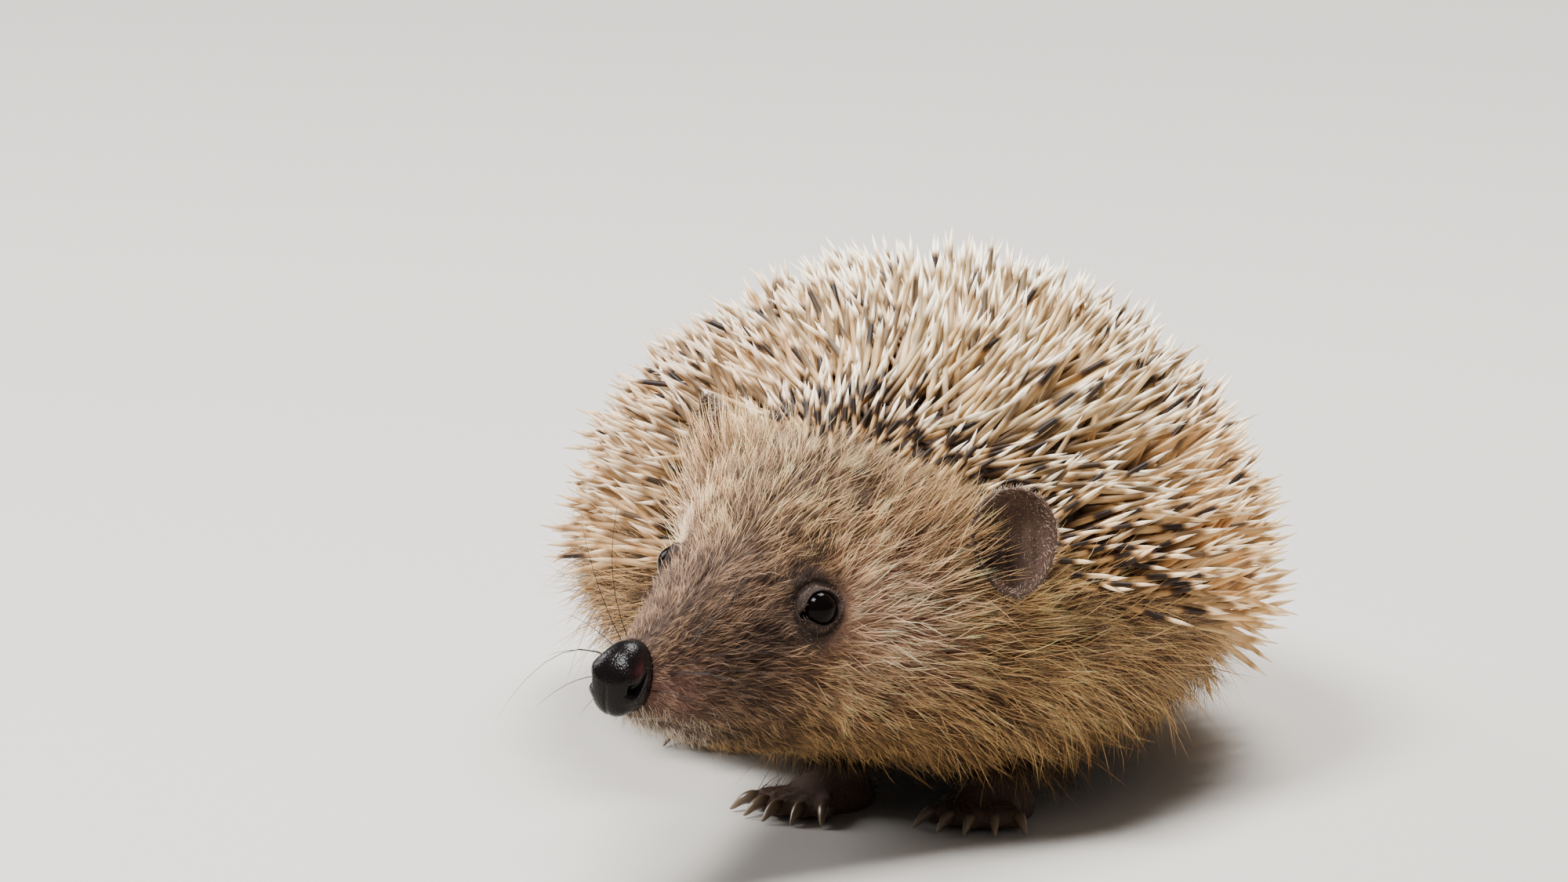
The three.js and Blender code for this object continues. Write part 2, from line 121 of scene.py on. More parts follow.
def bump(value, centre, width):
    """A bell curve, 1 at its centre."""
    return np.exp(-(((value - centre) / width) ** 2))


def unit(vectors):
    """Vectors divided by their own lengths."""
    return vectors / np.maximum(np.linalg.norm(vectors, axis=-1, keepdims=True), 1e-9)


def curve(table, column, at):
    """A cubic through a table's rows, with harmonic-mean slopes so that it never overshoots."""
    x, y = table[:, 0], table[:, column]
    at = np.clip(at, x[0], x[-1])
    slope = np.diff(y) / np.diff(x)
    before, after = slope[:-1], slope[1:]
    both = np.where(before + after == 0, 1, before + after)
    mean = np.where(before * after > 0, 2 * before * after / both, 0)
    tangent = np.concatenate([slope[:1], mean, slope[-1:]])
    i = np.clip(np.searchsorted(x, at, side="right") - 1, 0, len(x) - 2)
    step = x[i + 1] - x[i]
    t = (at - x[i]) / step
    return (
        (2 * t**3 - 3 * t**2 + 1) * y[i]
        + (t**3 - 2 * t**2 + t) * step * tangent[i]
        + (3 * t**2 - 2 * t**3) * y[i + 1]
        + (t**3 - t**2) * step * tangent[i + 1]
    )


def heading(at):
    """The way the animal faces at a distance, in radians."""
    return np.radians(curve(HEADINGS, 1, at))


def level(x, y):
    """A flat vector field from its two parts."""
    return np.stack([x, y, np.zeros_like(x)], -1)


def left_at(at):
    """The animal's left at a distance along the body."""
    return level(np.cos(heading(at)), -np.sin(heading(at)))


def back_at(at):
    """The way to the animal's rear at a distance along the body."""
    return level(np.sin(heading(at)), np.cos(heading(at)))


# The bent line under the body, summed in quarter millimetres from the nose tip.
LINE_AT = np.arange(-10, 200.01, 0.25)
_steps = back_at((LINE_AT[1:] + LINE_AT[:-1]) / 2)[:, :2] * 0.25
LINE = np.concatenate([np.zeros((1, 2)), np.cumsum(_steps, 0)])
LINE -= LINE[np.argmin(np.abs(LINE_AT))]


def line_at(at):
    """The bent line's point, on the floor."""
    return level(np.interp(at, LINE_AT, LINE[:, 0]), np.interp(at, LINE_AT, LINE[:, 1]))


def roll_at(at):
    """How far the left side is lower, in radians: all of it in the head, none past the neck."""
    return np.radians(HEAD_ROLL) * (1 - smoothstep(at, EAR_AT, ROLL_ENDS_AT))


def raw_place(at, out, height):
    """A point by its distance, its distance to the left, and its height, before it is centred."""
    at, out, height = np.broadcast_arrays(*(np.asarray(v, float) for v in (at, out, height)))
    roll, pivot = roll_at(at), curve(SECTIONS, WIDE, at)
    up = height - pivot
    point = line_at(at) + left_at(at) * (out * np.cos(roll) + up * np.sin(roll))[..., None]
    point[..., 2] = pivot + up * np.cos(roll) - out * np.sin(roll)
    return point


def half_reach(at):
    """Half width and reaches up and down of the body at a distance, the rump's rounding included."""
    share = np.clip((at - RUMP_FROM) / RUMP_LENGTH, 0, 0.999)
    plan = (1 - share**RUMP_PLAN) ** (1 / RUMP_PLAN)
    profile = (1 - share**RUMP_PROFILE) ** (1 / RUMP_PROFILE)
    wide = curve(SECTIONS, WIDE, at)
    return (
        curve(SECTIONS, HALF, at) * plan,
        (curve(SECTIONS, TOP, at) - wide) * profile,
        (wide - curve(SECTIONS, LOW, at)) * plan,
    )


def power(value, exponent):
    """A power that keeps its base's sign."""
    return np.sign(value) * np.abs(value) ** exponent


def eye_out():
    """How far out the eyeball's centre is: on the section at its height, sunk to leave its stand."""
    half, up, _ = half_reach(np.array(EYE_AT))
    share = ((EYE_HEIGHT - curve(SECTIONS, WIDE, np.array(EYE_AT))) / up) ** (TOP_SQUARENESS / 2)
    return float(half * np.sqrt(1 - share**2) ** (2 / TOP_SQUARENESS)) + EYE_STAND - EYE_RADIUS


def eye_centre(side):
    """The eyeball's centre on one side, before it is centred."""
    return raw_place(EYE_AT, side * eye_out(), EYE_HEIGHT)


# The frame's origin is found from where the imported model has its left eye.
_low, _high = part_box("eye_left")
SHIFT = (np.array(_low) + np.array(_high)) / 2 / MM - eye_centre(1)


def place(at, out, height):
    """A point of the body plan in the shared frame, in millimetres."""
    return raw_place(at, out, height) + SHIFT


def locate(points):
    """The body-plan coordinates of points: distance, out and height.

    The distance is the nearest point's on the bent line, and the roll is then undone.
    """
    flat = (points - SHIFT)[:, :2]
    coarse = slice(None, None, 4)
    nearest = np.concatenate(
        [
            np.argmin(((part[:, None, :] - LINE[None, coarse]) ** 2).sum(-1), 1)
            for part in np.array_split(flat, max(1, len(flat) // 20000))
        ]
    )
    at = LINE_AT[coarse][nearest]
    for _ in range(2):
        at = at + ((flat - line_at(at)[:, :2]) * back_at(at)[:, :2]).sum(-1)
    side = ((flat - line_at(at)[:, :2]) * left_at(at)[:, :2]).sum(-1)
    roll, pivot = roll_at(at), curve(SECTIONS, WIDE, at)
    up = points[:, 2] - SHIFT[2] - pivot
    out = side * np.cos(roll) - up * np.sin(roll)
    return at, out, side * np.sin(roll) + up * np.cos(roll) + pivot


# ---- meshes, all from arrays --------------------------------------------------------


def new_mesh(name, points, triangles):
    """A smooth mesh from points in millimetres and triangles of their numbers."""
    mesh = bpy.data.meshes.new(name)
    mesh.vertices.add(len(points))
    mesh.vertices.foreach_set("co", (points * MM).astype(np.float32).ravel())
    mesh.loops.add(len(triangles) * 3)
    mesh.loops.foreach_set("vertex_index", triangles.astype(np.int32).ravel())
    mesh.polygons.add(len(triangles))
    mesh.polygons.foreach_set("loop_start", np.arange(0, len(triangles) * 3, 3, dtype=np.int32))
    mesh.update(calc_edges=True)
    mesh.polygons.foreach_set("use_smooth", np.ones(len(mesh.polygons), bool))
    return mesh


def new_piece(name, mesh, material, replaced=()):
    """Makes the mesh a piece that rides with the body and stands for CAD nodes."""
    piece = bpy.data.objects.new(name, mesh)
    bpy.context.scene.collection.objects.link(piece)
    mesh.materials.append(material)
    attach(piece, "root")
    if replaced:
        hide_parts(*replaced)


def set_colour(mesh, name, colours):
    """A colour at each vertex, in linear values."""
    layer = mesh.color_attributes.new(name, "FLOAT_COLOR", "POINT")
    data = np.ones((len(mesh.vertices), 4), np.float32)
    data[:, :3] = colours
    layer.data.foreach_set("color", data.ravel())


def set_number(mesh, name, values):
    """A number at each vertex."""
    layer = mesh.attributes.new(name, "FLOAT", "POINT")
    layer.data.foreach_set("value", values.astype(np.float32))


def set_map(mesh, places):
    """The map named OFBake, from a place for each vertex."""
    corner = np.empty(len(mesh.loops), np.int32)
    mesh.loops.foreach_get("vertex_index", corner)
    layer = mesh.uv_layers.new(name="OFBake")
    layer.data.foreach_set("uv", places[corner].astype(np.float32).ravel())


def grid_triangles(rows, columns):
    """Triangles of a grid that is closed round its columns, with a fan over each end.

    The grid's points come row by row, then the first end's middle and the last end's.
    """
    r, c = np.meshgrid(np.arange(rows - 1), np.arange(columns), indexing="ij")
    a, b = r * columns + c, r * columns + (c + 1) % columns
    walls = np.stack([a, b, b + columns, a, b + columns, a + columns], -1).reshape(-1, 3)
    c = np.arange(columns)
    first, base = rows * columns, (rows - 1) * columns
    start = np.stack([np.full(columns, first), (c + 1) % columns, c], -1)
    end = np.stack([np.full(columns, first + 1), base + c, base + (c + 1) % columns], -1)
    return np.concatenate([walls, start, end])


def closed_loft(rings):
    """A closed tube through rings, an array of rows by columns by three."""
    rows, columns = rings.shape[:2]
    points = np.concatenate([rings.reshape(-1, 3), rings[:1].mean(1), rings[-1:].mean(1)])
    return points, grid_triangles(rows, columns)


def joined(parts):
    """Several (points, triangles) pairs as one."""
    offsets = np.cumsum([0] + [len(points) for points, _ in parts[:-1]])
    return (
        np.concatenate([points for points, _ in parts]),
        np.concatenate([triangles + offset for (_, triangles), offset in zip(parts, offsets)]),
    )


def tube(path, radii, columns=16, squash=1.0):
    """A closed round tube along a path, with a radius at each of its points.

    Its rings lie square to the path; squash makes them lower than they are wide.
    """
    path, radii = np.asarray(path, float), np.asarray(radii, float)
    along = unit(np.gradient(path, axis=0))
    side = unit(np.cross(along, np.where(np.abs(along[:, 2:]) < 0.9, [[0, 0, 1.0]], [[0, 1.0, 0]])))
    up = np.cross(side, along)
    angle = np.linspace(0, 2 * np.pi, columns, endpoint=False)[None, :, None]
    ring = np.cos(angle) * side[:, None] + squash * np.sin(angle) * up[:, None]
    return closed_loft(path[:, None] + ring * radii[:, None, None])


def smooth_path(knots, count):
    """Knots of any number of values, carried on a Catmull-Rom curve."""
    knots = np.asarray(knots, float)
    padded = np.concatenate([2 * knots[:1] - knots[1:2], knots, 2 * knots[-1:] - knots[-2:-1]])
    t = np.linspace(0, len(knots) - 1, count)
    i = np.minimum(t.astype(int), len(knots) - 2)
    t = (t - i)[:, None]
    a, b, c, d = (padded[i + k] for k in range(4))
    return 0.5 * (2 * b + (c - a) * t + (2 * a - 5 * b + 4 * c - d) * t**2 + (3 * b - a - 3 * c + d) * t**3)


def ellipsoid(centre, radii, turn, rows=24, columns=32):
    """A closed ellipsoid about a centre, turned by a matrix."""
    v = np.linspace(0.02, np.pi - 0.02, rows)[:, None]
    u = np.linspace(0, 2 * np.pi, columns, endpoint=False)[None]
    ball = np.stack([np.sin(v) * np.cos(u), np.sin(v) * np.sin(u), np.cos(v) + 0 * u], -1) * radii
    points, triangles = closed_loft(ball @ turn.T + centre)
    return points, triangles[:, ::-1]


# ---- materials ----------------------------------------------------------------------

# Sizes of the patterns' features, in millimetres.
HAIR_MOTTLE, UNDERFUR_GRAIN, SKIN_FOLDS, SPINE_GRAIN = 1.1111, 0.33333, 3.3333, 0.4
IRIS_FLECKS, NOSE_PEBBLES = 1.4286, 0.27778
# A spine's colours at shares of its length from the root: a plain one's, and a banded one's.
# The dark stops nearest the root are painted shade deep among the spines.
PLAIN_SPINE = (
    (0.0, "#30241c"),
    (0.22, "#7d6348"),
    (0.5, "#ecd0a2"),
    (0.68, "#e2c190"),
    (0.78, "#b6925f"),
    (0.88, "#ffeac6"),
    (1.0, "#fff6e2"),
)
BANDED_SPINE = (
    (0.0, "#30241c"),
    (0.2, "#7d6348"),
    (0.4, "#e3c698"),
    (0.52, "#c3a071"),
    (0.58, "#4f3725"),
    (0.63, "#2a1c13"),
    (0.76, "#251911"),
    (0.8, "#8d7152"),
    (0.85, "#fff0d4"),
    (1.0, "#fffaf0"),
)


def linear(text):
    """Linear red, green and blue from an sRGB hex value."""
    c = np.array([int(text[i : i + 2], 16) for i in (1, 3, 5)]) / 255
    return np.where(c <= 0.04045, c / 12.92, ((c + 0.055) / 1.055) ** 2.4)


def add_node(tree, kind, links=(), **settings):
    """A node with its settings: an input's name sets that socket, anything else a property.

    links are (input name, output socket) pairs.
    """
    node = tree.nodes.new(kind)
    for key, value in settings.items():
        socket = node.inputs.get(key.replace("_", " "))
        if socket is not None:
            socket.default_value = value
        else:
            setattr(node, key, value)
    for key, source in links:
        tree.links.new(source, node.inputs[key])
    return node


def pattern_scale(size):
    """The scale at which a pattern's features are a size in millimetres across."""
    return 1 / (size * MM)


def new_material(name, **surface):
    """A Principled material with values on its own sockets."""
    material = bpy.data.materials.new(name)
    material.use_nodes = True
    shader = material.node_tree.nodes["Principled BSDF"]
    for key, value in surface.items():
        shader.inputs[key.replace("_", " ")].default_value = value
    return material, material.node_tree, shader


def tint_varied(tree, shader, pattern, low, high):
    """Makes the mesh's own tint the base colour, scaled between two numbers by a pattern."""
    tint = add_node(tree, "ShaderNodeAttribute", attribute_name="tint")
    shade = add_node(tree, "ShaderNodeMapRange", [("Value", pattern)], To_Min=low, To_Max=high)
    mixed = add_node(
        tree, "ShaderNodeVectorMath", [("Vector", tint.outputs["Color"])], operation="SCALE"
    )
    tree.links.new(shade.outputs["Result"], mixed.inputs["Scale"])
    tree.links.new(mixed.outputs["Vector"], shader.inputs["Base Color"])


def hair_material(name, roughness):
    """Keratin hair: dry, scaly shafts that give a soft, broad gloss over their own colour.

    Each hair's colour comes from its attribute, mottled by a noise of about a millimetre. The
    refractive index is keratin's.
    """
    material, tree, shader = new_material(name, Roughness=roughness, IOR=1.55, Specular_IOR_Level=0.2)
    where = add_node(tree, "ShaderNodeTexCoord").outputs["Object"]
    scale = pattern_scale(HAIR_MOTTLE)
    mottle = add_node(tree, "ShaderNodeTexNoise", [("Vector", where)], Scale=scale, Detail=2.0)
    tint_varied(tree, shader, mottle.outputs["Fac"], 0.78, 1.22)
    return material


def skin_material():
    """Living skin with dense underfur: matt, finely grained and softly uneven.

    The grain is as fine as the hairs stand, and the refractive index is skin's.
    """
    material, tree, shader = new_material(
        "Skin with underfur", Roughness=0.75, IOR=1.4, Specular_IOR_Level=0.25
    )
    where = add_node(tree, "ShaderNodeTexCoord").outputs["Object"]
    scale = pattern_scale(UNDERFUR_GRAIN)
    fine = add_node(tree, "ShaderNodeTexNoise", [("Vector", where)], Scale=scale, Detail=3.0)
    scale = pattern_scale(SKIN_FOLDS)
    broad = add_node(tree, "ShaderNodeTexNoise", [("Vector", where)], Scale=scale, Detail=3.0)
    tint_varied(tree, shader, fine.outputs["Fac"], 0.6, 1.4)
    coarse = add_node(
        tree, "ShaderNodeBump", [("Height", broad.outputs["Fac"])], Strength=0.3, Distance=0.4 * MM
    )
    rough = add_node(
        tree,
        "ShaderNodeBump",
        [("Height", fine.outputs["Fac"]), ("Normal", coarse.outputs["Normal"])],
        Strength=0.5,
        Distance=0.2 * MM,
    )
    tree.links.new(rough.outputs["Normal"], shader.inputs["Normal"])
    return material


def spine_material():
    """Spine keratin: hard, ivory and faintly glossy, mostly with a brown band below a pale tip.

    The refractive index is keratin's, and a bump of 0.4 mm grain breaks the gloss.
    The colours are read from how far along the spine a point is. Each spine's own number
    blends between a banded one and a plain one, and its tint makes it paler or browner, and
    adds painted shade on the far flank and painted warm reflected light on the near flank.
    """
    material, tree, shader = new_material(
        "Spine keratin", Roughness=0.5, IOR=1.55, Specular_IOR_Level=0.25
    )
    far = add_node(tree, "ShaderNodeAttribute", attribute_name="along")
    band = add_node(tree, "ShaderNodeAttribute", attribute_name="band")
    tint = add_node(tree, "ShaderNodeAttribute", attribute_name="tint")
    ramps = []
    for stops in (PLAIN_SPINE, BANDED_SPINE):
        ramp = add_node(tree, "ShaderNodeValToRGB", [("Fac", far.outputs["Fac"])])
        elements = ramp.color_ramp.elements
        while len(elements) < len(stops):
            elements.new(1.0)
        for element, (position, colour) in zip(elements, stops):
            element.position = position
            element.color = (*linear(colour), 1)
        ramps.append(ramp)
    blend = add_node(tree, "ShaderNodeMix", [(0, band.outputs["Fac"])], data_type="RGBA")
    tree.links.new(ramps[0].outputs["Color"], blend.inputs[6])
    tree.links.new(ramps[1].outputs["Color"], blend.inputs[7])
    mixed = add_node(
        tree,
        "ShaderNodeVectorMath",
        [(0, blend.outputs[2]), (1, tint.outputs["Color"])],
        operation="MULTIPLY",
    )
    tree.links.new(mixed.outputs["Vector"], shader.inputs["Base Color"])
    where = add_node(tree, "ShaderNodeTexCoord").outputs["Object"]
    scale = pattern_scale(SPINE_GRAIN)
    grain = add_node(tree, "ShaderNodeTexNoise", [("Vector", where)], Scale=scale, Detail=2.0)
    rough = add_node(
        tree, "ShaderNodeBump", [("Height", grain.outputs["Fac"])], Strength=0.15, Distance=0.1 * MM
    )
    tree.links.new(rough.outputs["Normal"], shader.inputs["Normal"])
    return material


def eye_material(iris):
    """A living eye: a dark brown iris that reads black, under a clear cornea wet with tears.

    The refractive index is the cornea's, and the tears make it almost mirror-smooth.
    """
    material, tree, shader = new_material(
        "Wet cornea over dark iris", Roughness=0.03, IOR=1.376, Specular_IOR_Level=0.08
    )
    where = add_node(tree, "ShaderNodeTexCoord").outputs["Object"]
    scale = pattern_scale(IRIS_FLECKS)
    flecks = add_node(tree, "ShaderNodeTexNoise", [("Vector", where)], Scale=scale, Detail=2.0)
    ramp = add_node(tree, "ShaderNodeValToRGB", [("Fac", flecks.outputs["Fac"])])
    ramp.color_ramp.elements[0].color = (*linear("#030202"), 1)
    ramp.color_ramp.elements[1].color = (*iris, 1)
    tree.links.new(ramp.outputs["Color"], shader.inputs["Base Color"])
    return material


def nose_material():
    """Bare nose skin: black, wet, and grained with pebbles about a quarter of a millimetre across."""
    material, tree, shader = new_material(
        "Wet nose skin", Roughness=0.2, IOR=1.36, Specular_IOR_Level=0.18
    )
    where = add_node(tree, "ShaderNodeTexCoord").outputs["Object"]
    scale = pattern_scale(NOSE_PEBBLES)
    pebbles = add_node(tree, "ShaderNodeTexVoronoi", [("Vector", where)], Scale=scale)
    tint_varied(tree, shader, pebbles.outputs["Distance"], 1.2, 0.7)
    rough = add_node(
        tree,
        "ShaderNodeBump",
        [("Height", pebbles.outputs["Distance"])],
        Strength=0.5,
        Distance=0.08 * MM,
        invert=True,
    )
    tree.links.new(rough.outputs["Normal"], shader.inputs["Normal"])
    return material


def claw_material(root, tip):
    """Claw horn: smooth and worn glossy, brown at the root and paler towards the tip."""
    material, tree, shader = new_material("Claw horn", Roughness=0.3, IOR=1.55)
    far = add_node(tree, "ShaderNodeAttribute", attribute_name="along")
    ramp = add_node(tree, "ShaderNodeValToRGB", [("Fac", far.outputs["Fac"])])
    ramp.color_ramp.elements[0].color = (*root, 1)
    ramp.color_ramp.elements[1].color = (*tip, 1)
    tree.links.new(ramp.outputs["Color"], shader.inputs["Base Color"])
    return material


# ---- the lie and the colours of the coat --------------------------------------------

# Distance behind the nose tip, and the fur's length there.
FUR_LENGTHS = np.array(
    [
        (0, 1.1),
        (8, 2.0),
        (14, 2.8),
        (20, 3.6),
        (29, 4.9),
        (38, 6.3),
        (48, 8.2),
        (60, 11),
        (80, 14),
        (190, 15),
    ],
    float,
)


def user_settings():
    """The sizes and colours that the user has set."""
    return bpy.context.scene.hedgehog


def millimetres(length):
    """A length setting, kept in metres to single precision, in millimetres to four places."""
    return round(length / MM, 4)


class Spots:
    """Points on the skin with their body-plan coordinates and the regions that they fall in."""

    def __init__(self, points, normals):
        """Works out each point's fields, all arrays of the points' number.

        at, out and height are its place on the body plan; across and rise are its shares of the
        way out to the section's side, top or underside; turn is its angle round the body, -90
        below and 90 above; limb, foot and tail are 1 on those; over_edge is its height over the
        line where the spines end; eye_gap and from_eye are its distance and way from the eye.
        """
        self.points, self.normals = points, normals
        self.at, self.out, self.height = locate(points)
        half, up, down = half_reach(self.at)
        wide = curve(SECTIONS, WIDE, self.at)
        rise = self.height - wide
        self.across = np.abs(self.out) / np.maximum(half, 1)
        self.rise = rise / np.where(rise > 0, np.maximum(up, 1), np.maximum(down, 1))
        self.turn = np.degrees(np.arctan2(self.rise, self.across))
        self.side = np.where(self.out >= 0, 1.0, -1.0)
        fullness = self.across**2 + self.rise**2
        self.limb = smoothstep(fullness, 1.25, 1.5) * smoothstep(self.at, 40, 50)
        self.limb = self.limb * smoothstep(-self.height, -14, -10)
        self.foot = self.limb * smoothstep(-points[:, 2], -6.5, -4.5)
        self.tail = smoothstep(fullness, 1.3, 1.6) * smoothstep(self.at, 150, 156)
        share = np.clip((self.at - RUMP_FROM) / RUMP_LENGTH, 0, 0.999)
        rounded = 1 - (1 - share**RUMP_PLAN) ** (1 / RUMP_PLAN)
        ahead = SPINES_AHEAD * (1 - smoothstep(self.at, 60, 80))
        self.over_edge = self.height - curve(SECTIONS, EDGE, self.at + ahead) - RUMP_EDGE_RISE * rounded
        from_eyes = np.stack([self.points - SHIFT - eye_centre(s) for s in (1, -1)], 1)
        gaps = np.linalg.norm(from_eyes, axis=-1)
        self.eye_gap = gaps.min(1)
        self.from_eye = unit(from_eyes[np.arange(len(points)), gaps.argmin(1)])

    def pick(self, chosen):
        """The same for a subset of the points."""
        made = object.__new__(Spots)
        made.__dict__ = {key: value[chosen] for key, value in self.__dict__.items()}
        return made

    def edge_gap(self):
        """How far above the spine line a point is; the line is higher on the right flank.

        The body bends to its right, which pushes the furry flank up on that side.
        """
        raised = 13 * smoothstep(self.at, 78, 100) * (1 - smoothstep(self.at, 144, 158))
        return self.over_edge - raised * (self.side < 0)

    def spiny(self):
        """1 where spines grow, 0 where fur does, with a mixed band between that is wide in front."""
        band = 1.6 + 1.6 * (1 - smoothstep(self.at, 60, 80))
        grown = smoothstep(self.edge_gap(), -band, band)
        return grown * (1 - self.limb) * (1 - self.tail)

    def furry(self):
        """1 where fur grows: it thins out just past the spine line, and on the eyelids' rims."""
        past = smoothstep(self.edge_gap(), -1.8, 2.2)
        past = past * (1 - self.limb) * (1 - self.tail)
        return (1 - past) ** 1.5 * smoothstep(self.eye_gap, 2.62, 2.95) * smoothstep(self.at, 3.4, 4.6)

    def lie(self):
        """Unit vectors along the skin, the way the hair lies.

        It runs to the rear, up over the temples, down the throat and the lower flanks, away
        from the eyes, and straight down the legs.
        """
        head = 1 - smoothstep(self.at, 52, 74)
        upward = head * (0.5 * bump(self.turn, 42, 26) * smoothstep(self.at, 18, 34))
        upward = upward - (0.25 + 0.75 * smoothstep(self.at, 40, 80)) * smoothstep(-self.turn, 4, 46)
        upward = upward - 0.4 * (1 - head) * smoothstep(-self.turn, -30, 20)
        up = np.array([[0, 0, 1.0]])
        out = left_at(self.at) * self.side[:, None]
        flow = back_at(self.at) + upward[:, None] * up
        flow = flow + out * (0.22 * head * bump(self.turn, 75, 30))[:, None]
        near_eye = (1 - smoothstep(self.eye_gap, 2.6, 7.0))[:, None]
        flow = unit(flow) + 1.3 * near_eye * self.from_eye
        flow = flow * (1 - self.limb)[:, None] + self.limb[:, None] * (-up + 0.2 * back_at(self.at))
        flow = flow * (1 - self.foot)[:, None] - self.foot[:, None] * back_at(self.at)
        return unit(flow - self.normals * (flow * self.normals).sum(-1, keepdims=True))

    def before_eye(self):
        """1 in front of the eyes, 0 behind them."""
        return 1 - smoothstep(self.at, EYE_AT - 1, EYE_AT + 3)

    def length(self):
        """How long the fur is: shortest on muzzle, lids and feet, longest on flanks and throat."""
        length = curve(FUR_LENGTHS, 1, self.at)
        length = length * (1 - 0.3 * smoothstep(-self.turn, 20, 60) * (1 - smoothstep(self.at, 40, 70)))
        length = length * (1 - 0.35 * smoothstep(-self.turn, 60, 88) * smoothstep(self.at, 70, 90))
        length = length * (1 - 0.5 * smoothstep(self.edge_gap(), -9, 0) * (1 - smoothstep(self.at, 58, 76)))
        before = self.before_eye()
        near, far = 2.9 + 0.6 * before, 6.2 + 2.6 * before
        length = length * (0.14 + 0.86 * smoothstep(self.eye_gap, near, far))
        length = length * (1 - self.limb) + 4.6 * self.limb
        return (length * (1 - self.foot) + 1.5 * self.foot) * user_settings().fur_length

    def blend(self, rows):
        """A colour at each spot: each row's is laid over the ones before by its weight.

        A row's colour is an sRGB hex value, or linear values.
        """
        shade = np.zeros((len(self.at), 3))
        for colour, weight in rows:
            weight = np.broadcast_to(weight, self.at.shape)[:, None]
            colour = linear(colour) if isinstance(colour, str) else np.array(colour)
            shade = shade * (1 - weight) + colour * weight
        return shade

    def zones(self):
        """The regions that the coat's markings follow, each a smooth field from 0 to 1."""
        before = self.before_eye()
        return {
            "face": smoothstep(self.at, 19, 33),
            "neck": smoothstep(self.at, 58, 84),
            "below": smoothstep(-self.turn, 20, 66),
            "brow": bump(self.at, 42, 15) * smoothstep(self.turn, 26, 74),
            "cheek": bump(self.at, 37.0, 8.0) * bump(self.turn, 8, 30),
            "temple": bump(self.at, 47.0, 5.0) * bump(self.turn, 32, 17),
            "bridge": (1 - smoothstep(self.at, 10, 24)) * smoothstep(self.turn, -30, 25),
            "lip": bump(self.at, 7.5, 5.5) * bump(self.turn, -12, 34),
            "stripe": bump(self.at, 20.5, 5.5) * bump(self.turn, 14, 26),
            "eye": 1 - smoothstep(self.eye_gap, 3.2 + 0.5 * before, 5.1 + 2.4 * before),
            "chin": (1 - smoothstep(self.at, 10, 22)) * smoothstep(-self.turn, 40, 62),
        }

    def ground(self):
        """The dark underfur's colour, in linear values."""
        z = self.zones()
        return self.blend(
            [
                (user_settings().underfur_colour, 1.0),
                ("#5c412f", z["face"]),
                ("#4f3826", z["neck"]),
                ("#423020", z["below"]),
                ("#4c382c", 0.8 * z["brow"]),
                ("#3a2a20", 0.7 * z["temple"]),
                ("#c9977f", 0.9 * z["cheek"]),
                ("#503a2f", 0.8 * z["bridge"]),
                ("#9c7062", 0.8 * z["lip"]),
                ("#33251e", 0.8 * z["stripe"]),
                ("#30241e", 0.92 * z["eye"]),
                ("#7c6657", 0.6 * z["chin"]),
                ("#3b2c20", self.limb),
                ("#4a3a2d", self.foot),
            ]
        )

    def straw(self):
        """The pale guard hairs' colour, in linear values."""
        z = self.zones()
        return self.blend(
            [
                (user_settings().straw_colour, 1.0),
                ("#f9c383", z["face"]),
                ("#dfae72", z["neck"]),
                ("#bf955f", z["below"]),
                ("#f2c696", 0.7 * z["brow"]),
                ("#ffdbb8", 0.85 * z["cheek"]),
                ("#a8845f", 0.8 * z["bridge"]),
                ("#b8998a", 0.6 * z["lip"]),
                ("#80675a", 0.8 * z["stripe"]),
                ("#6b5a50", 0.92 * z["eye"]),
                ("#ecdac4", 0.9 * z["chin"]),
                ("#8f7453", self.limb),
                ("#80694f", self.foot),
            ]
        )

    def map_place(self):
        """A place on the unwrapped skin: distance one way, the turn round the body the other."""
        turn = np.arctan2(self.rise, self.out / np.maximum(half_reach(self.at)[0], 1))
        along = np.clip((self.at + 8) / 190, 0, 1)
        around = turn / (2 * np.pi) + 0.5
        return np.stack([0.03 + 0.94 * along, 0.03 + 0.94 * around], -1)


# ---- the skin -----------------------------------------------------------------------


def body_surface(columns=120):
    """The body under its coat: superellipse sections, closed at the nose and round the rump."""
    rump = RUMP_FROM + RUMP_LENGTH * np.sin(np.radians(np.linspace(0, 88.5, 70)))
    at = np.concatenate([np.arange(1.2, RUMP_FROM, 1.0), rump])
    angle = np.linspace(0, 2 * np.pi, columns, endpoint=False)
    half, up, down = (v[:, None] for v in half_reach(at))
    cos, sin = np.cos(angle)[None], np.sin(angle)[None]
    exponent = np.where(sin >= 0, 2 / TOP_SQUARENESS, 2 / LOW_SQUARENESS)
    height = curve(SECTIONS, WIDE, at)[:, None] + np.where(sin >= 0, up, down) * power(sin, exponent)
    return closed_loft(place(at[:, None] + 0 * cos, half * power(cos, exponent), height))


def foot_frame(name):
    """A foot's turn matrix and its origin under its middle, with -Y towards the toes."""
    *_, at, out, turn = LEGS[name]
    at = np.array(float(at))
    angle = np.radians(turn) - heading(at)
    cos, sin = np.cos(angle), np.sin(angle)
    matrix = np.array([[cos, -sin, 0], [sin, cos, 0], [0, 0, 1]])
    return matrix, line_at(at) + left_at(at) * out + SHIFT * [1, 1, 0]


def toe_points(name, spread):
    """Root of a toe in its foot's frame, the way it points, and the foot's size."""
    length, width, _, toe, claw = FEET[name[:4]]
    turn = np.radians(spread * TOE_FAN)
    ahead = np.array([np.sin(turn), -np.cos(turn), 0])
    root = np.array([spread * width * 0.3, -length * (0.38 - 0.1 * abs(spread)), 0])
    return root, ahead, toe, claw


